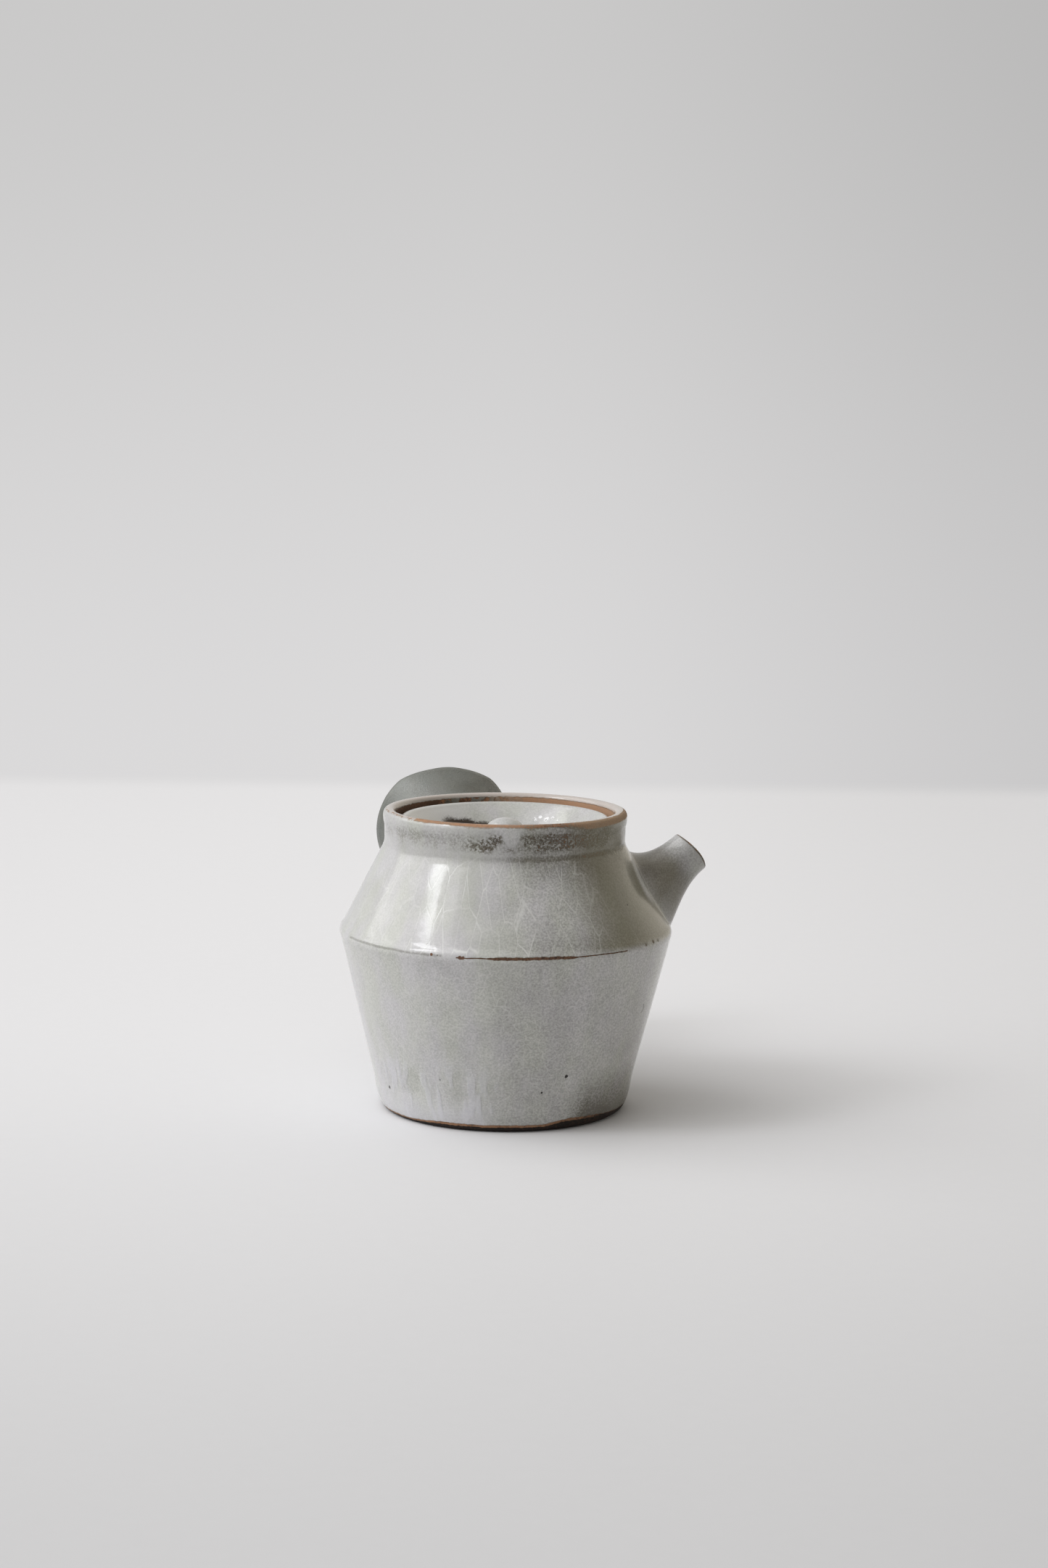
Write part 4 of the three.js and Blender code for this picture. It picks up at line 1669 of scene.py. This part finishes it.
@dataclass
class DishLid(Piece):
    """The lid: a dish that drops inside the rim and rests on the gallery."""

    name = "dish_lid"
    node = "lid"
    finish_name = "lid_glaze"
    rides = Body.COVER

    seat_height: float = 74.3
    radius: float = 27.3
    edge: float = 3.0
    depth: float = 3.9
    floor_radius: float = 15.0
    thickness: float = 3.2
    throat_radius: float = 25.2
    vent_radius: float = 1.5
    vent_place: float = 20.5
    vent_drop: float = 2.0
    vent_length: float = 16.0
    vent_sides: int = 32
    sides: int = 200

    def outline(self) -> Rib:
        """The dish, from its underside to its floor, closed on the axis.

        Returns:
            The outline.
        """
        seat, wide, flat, throat = self.seat_height, self.radius, self.floor_radius, self.throat_radius
        under, floor, top = seat - self.depth - self.thickness, seat - self.depth, seat + self.edge
        rib = Rib(0.0, under)
        rib.straight(flat - 0.5, under, 5)
        rib.sweep((flat + 3.0, under), (throat - 3.0, seat - 2.2), (throat - 0.7, seat))
        rib.straight(wide - 0.4, seat, 2)
        rib.straight(wide, seat + 0.5, 2)
        rib.straight(wide, top - 0.7, 3)
        rib.bend((wide, top), (wide - 0.8, top + 0.1))
        rib.bend((wide - 1.5, top + 0.1), (wide - 2.3, top - 0.7))
        rib.sweep((wide - 6.0, seat - 0.4), (flat + 4.0, floor), (flat, floor), steps=16)
        rib.straight(0.0, floor, 8)
        return rib

    def shaped(self) -> Thing:
        """Throws the lid and pierces its vent.

        Returns:
            The bare piece.
        """
        vent = bmesh.new()
        middle = Vector((0.0, -self.vent_place, self.seat_height - self.vent_drop))
        drill(vent, middle, UP, self.vent_radius, self.vent_length, self.vent_sides)
        return pierced(throw(self.outline(), self.sides), vent, self.name)

    def glaze(self, finish: Finish) -> Material:
        """The lid's finish: pale in the dish, bare under the flange, with painted light on the dish's far
        left, painted shade low on its far wall and painted glints on beads at its far right.

        Args:
            finish: The finish to mix.

        Returns:
            The material.
        """
        seat = self.seat_height
        flange = finish.height.fall(seat + 0.35, seat + 0.7) * finish.radius.rise(23.9, 24.3)
        thick = (finish.cloud(11.0) * 0.12 + 0.84).brought(flange, 0.04)
        # Painted shade: a dark patch low on the dish's far wall, left of the knob.
        painted_shade = finish.marks(
            Mark((-10.4, 16.6, seat - 2.6), 4.3),
            Mark((-6.4, 18.2, seat - 2.8), 3.7),
            Mark((-2.2, 18.3, seat - 3.1), 3.1),
        )
        beads_and_glints = finish.marks(
            Mark((11.8, 18.1, seat - 1.2), 1.0),
            Mark((13.4, 17.8, seat - 0.5), 0.8),
            Mark((14.8, 16.1, seat - 0.9), 1.1),
            Mark((16.3, 15.4, seat - 0.4), 0.8),
            Mark((17.2, 13.7, seat - 0.8), 0.7),
        )
        # The beads are small bumps, and their mask also paints near-white glints on them.
        beads_and_glints = beads_and_glints * finish.cloud(0.8).rise(0.40, 0.56)
        # Painted light: a paler skin on the dish's far left, where the rim's shadow falls.
        painted_light = finish.facing(156.0, 36.0, 22.0) * finish.radius.rise(13.0, 19.0, 0.0, 0.7)
        layers = [Layer(painted_light, Tint.LID_PAINTED_LIGHT), Layer(painted_shade, Tint.LID_PAINTED_SHADE), Layer(beads_and_glints * 0.85, Tint.PAINTED_GLINT)]
        return finish.close(thick, layers=layers, bumps=beads_and_glints * 0.08)


@dataclass
class LidKnob(Piece):
    """The knob: a low mushroom that stands on the lid's floor."""

    name = "lid_knob"
    node = "knob"
    finish_name = "knob_glaze"
    rides = Body.COVER

    floor_height: float = 70.4
    stem: float = 3.5
    radius: float = 5.3
    height: float = 6.6
    sides: int = 96

    def outline(self) -> Rib:
        """The knob, from under its stem to its crown, closed on the axis.

        Returns:
            The outline.
        """
        floor, stem, wide, top = self.floor_height, self.stem, self.radius, self.floor_height + self.height
        rib = Rib(0.0, floor)
        rib.straight(stem + 0.9, floor, 3)
        rib.bend((stem - 0.1, floor + 0.4), (stem - 0.1, floor + 0.9), 5)
        rib.straight(stem + 0.2, floor + 1.3, 2)
        rib.bend((wide, floor + 1.5), (wide, floor + 2.9), 10)
        rib.sweep((wide, floor + 4.9), (wide * 0.55, top), (0.0, top), steps=16)
        return rib

    def shaped(self) -> Thing:
        """Turns the knob."""
        return meshed(throw(self.outline(), self.sides), self.name)

    def glaze(self, finish: Finish) -> Material:
        """The knob's finish, a little thinner at the stem."""
        return finish.close(finish.height.rise(self.floor_height + 0.3, self.floor_height + 3.0, 0.7, 0.92))


# The studio


@dataclass(frozen=True)
class Lamp:
    """A soft flat lamp, placed as the camera sees it: negative azimuths are to the left."""

    name: str
    azimuth: float
    elevation: float
    distance: float
    width: float
    height: float
    radiance: float
    colour: Colour = WHITE


@dataclass
class Studio:
    """The table, the backdrop, the lamps and the camera."""

    camera_place: Place = (-195.25, -941.05, 231.353)
    camera_azimuth: float = math.radians(78.0)
    camera_pitch: float = math.radians(8.6)
    camera_roll: float = math.radians(0.67)
    lens: float = 85.09
    sensor: float = 36.0
    nearest: float = 0.05
    farthest: float = 20.0
    table_back: float = 585.0
    table_fade: float = 45.0
    table_side: float = 2500.0
    aim: Place = (0.0, 10.0, 45.0)
    table_colour: Colour = (0.745, 0.743, 0.757)
    table_front_shade: Colour = (0.560, 0.560, 0.570)
    table_glow: float = 0.03
    glow_colour: Colour = (1.0, 0.992, 1.0)
    wall_low: Colour = (0.705, 0.697, 0.700)
    wall_high: Colour = (0.590, 0.585, 0.583)
    room: float = 0.04
    room_behind: float = 0.42
    room_colour: Colour = (1.0, 0.93, 0.81)
    side: float = 0.34
    glow: float = 1.35
    glow_azimuth: float = -62.0
    glow_elevation: float = 55.0
    gloss: float = 0.03
    gloss_behind: float = 0.66
    lamps: tuple[Lamp, ...] = (
        Lamp("window", -69.5, 43.0, 2000.0, 430.0, 640.0, 8.1, (0.97, 0.985, 1.02)),
        Lamp("curtain", -87.0, 40.0, 2000.0, 2400.0, 2000.0, 1.62, (1.0, 0.995, 0.99)),
    )

    def ahead(self) -> Vector:
        """The flat direction that the camera looks in."""
        return Vector((math.cos(self.camera_azimuth), math.sin(self.camera_azimuth), 0.0))

    def rightwards(self) -> Vector:
        """The flat direction to the camera's right."""
        return self.ahead().cross(UP)

    def seen_from(self, azimuth: float, elevation: float) -> Vector:
        """A direction by its azimuth, from the camera's side and negative to the left, and its height.

        Args:
            azimuth: The azimuth, in degrees.
            elevation: The elevation, in degrees.

        Returns:
            The direction.
        """
        flat = Matrix.Rotation(math.radians(azimuth), 3, "Z") @ -self.ahead()
        rise = math.radians(elevation)
        return flat * math.cos(rise) + UP * math.sin(rise)

    def camera(self) -> None:
        """Sets up the camera where the photograph was taken from."""
        forward = self.ahead() * math.cos(self.camera_pitch) - UP * math.sin(self.camera_pitch)
        right = forward.cross(UP).normalized()
        above = right.cross(forward)
        cosine, sine = math.cos(self.camera_roll), math.sin(self.camera_roll)
        data = bpy.data.cameras.new("camera")
        data.sensor_width = self.sensor
        data.sensor_fit = "AUTO"
        data.lens = self.lens
        data.clip_start = self.nearest
        data.clip_end = self.farthest
        camera = linked("camera", data)
        sides = (right * cosine + above * sine, above * cosine - right * sine, -forward)
        place = Matrix.Translation(Vector(self.camera_place) * MM)
        camera.matrix_world = place @ Matrix(sides).transposed().to_4x4()
        bpy.context.scene.camera = camera

    def light(self, lamp: Lamp) -> None:
        """Hangs a lamp, which faces the pot.

        Args:
            lamp: The lamp.
        """
        direction = self.seen_from(lamp.azimuth, lamp.elevation)
        data = bpy.data.lights.new(lamp.name, "AREA")
        data.shape = "RECTANGLE"
        data.size = lamp.width * MM
        data.size_y = lamp.height * MM
        data.energy = lamp.radiance * math.pi * data.size * data.size_y
        data.color = lamp.colour
        place = (Vector(self.aim) + direction * lamp.distance) * MM
        turn = direction.to_track_quat("Z", "Y").to_matrix().to_4x4()
        linked(lamp.name, data).matrix_world = Matrix.Translation(place) @ turn

    def paint(self) -> Material:
        """The table's paint, with painted shade towards its front and sides and a faint painted glow
        towards its back, which fades into the backdrop at the back edge.

        Returns:
            The material.
        """
        material = bpy.data.materials.new("table_paint")
        bench = Canvas(material, "Object")
        depth, across = bench.reach(self.ahead()), bench.reach(self.rightwards())
        seen = bench.rays("Is Camera Ray", "Is Glossy Ray", "Is Transmission Ray")
        # Painted shade: the table is darker towards its front, and through shade towards its sides.
        colour = bench.blend(depth.rise(-0.45, 0.12), self.table_front_shade, self.table_colour)
        shade = across.rise(-0.25, -0.03, 0.94, 1.0) * across.rise(0.0, 0.2, 1.0, 0.93)
        look = {
            "Base Color": bench.times(colour, (bench.cloud(0.004, 3.0) * 0.02 + 0.98) * shade),
            "Roughness": 0.6,
            "Specular IOR Level": 0.2,
            "Emission Color": self.glow_colour,
            # Painted light: a faint glow for the camera, brighter towards the back.
            "Emission Strength": depth.rise(-0.25, 0.55) * self.table_glow * seen,
        }
        near = bench.node("ShaderNodeBsdfPrincipled", fed=look).outputs[0]
        fade = across.rise(-0.02, 0.25, 1.0, 0.85) * seen
        far = bench.node("ShaderNodeEmission", fed={"Color": self.wall_low, "Strength": fade}).outputs[0]
        back = depth.rise((self.table_back - self.table_fade) * MM, self.table_back * MM)
        edge = bench.node("ShaderNodeMixShader", back, near, far)
        bench.node("ShaderNodeOutputMaterial", fed={"Surface": edge.outputs[0]})
        return material

    def table(self) -> None:
        """Lays the pale table."""
        shape = bmesh.new()
        bmesh.ops.create_grid(shape, x_segments=1, y_segments=1, size=self.table_side)
        turn = Matrix.Rotation(self.camera_azimuth - math.pi / 2, 4, "Z")
        back = Vector((0.0, self.table_back - self.table_side, 0.0))
        bmesh.ops.transform(shape, matrix=turn @ Matrix.Translation(back), verts=shape.verts)
        table = meshed(shape, "table")
        table.data.materials.append(self.paint())

    def backdrop(self) -> None:
        """Gives the world its pale backdrop for the camera and the gloss, and a dim, even fill."""
        world = bpy.data.worlds.new("studio")
        bpy.context.scene.world = world
        bench = Canvas(world, "Generated")
        behind, right = bench.reach(self.ahead()), bench.reach(self.rightwards())
        seen = bench.rays("Is Camera Ray", "Is Transmission Ray")
        past = behind - right.rise(0.0, 0.5) * 0.3
        gloss = past.rise(-0.1, 0.4, self.gloss, self.gloss_behind)
        room = behind.rise(-0.1, 0.4, self.room, self.room_behind)
        level = bench.rays("Is Glossy Ray") * (gloss - room) + room
        glow = bench.reach(self.seen_from(self.glow_azimuth, self.glow_elevation)).at_least(0.0)
        level += bench.maths("POWER", glow, 3.0) * self.glow
        level += right.rise(0.15, 0.85) * bench.height.fall(0.35, 0.75) * self.side
        level += seen * (right.rise(-0.02, 0.17, 1.0, 0.83) - level)
        warmth = bench.blend(right.rise(-0.2, 0.5), WHITE, self.room_colour)
        wall = bench.blend(bench.height.rise(-0.15, 0.07), self.wall_low, self.wall_high)
        look = {"Color": bench.blend(seen, warmth, wall), "Strength": level}
        background = bench.node("ShaderNodeBackground", fed=look)
        bench.node("ShaderNodeOutputWorld", fed={"Surface": background.outputs[0]})

    def set_up(self) -> None:
        """Sets up the whole studio."""
        self.camera()
        self.table()
        self.backdrop()
        for lamp in self.lamps:
            self.light(lamp)
        log.info("studio: camera, table, backdrop and %d lamps", len(self.lamps))


def main() -> None:
    """Builds the pieces in order and reports each."""
    logging.basicConfig(level=logging.INFO, format="%(name)s: %(message)s")
    bpy.context.scene.view_settings.view_transform = "Standard"
    workshop, hand, body = Workshop(Stoneware()), Hand(), ThrownBody()
    parts = (body, PulledSpout(body), PiercedStrainer(body), TrumpetHandle(body), DishLid(), LidKnob())
    for part in parts:
        made = part.build(workshop, hand)
        size = [round(side / MM, 1) for side in made.dimensions]
        faces, rides = len(made.data.polygons), part.rides.value
        log.info("%s: %d faces, %s mm, rides on %s", made.name, faces, size, rides)
    Studio().set_up()


if __name__ == "__main__":
    main()
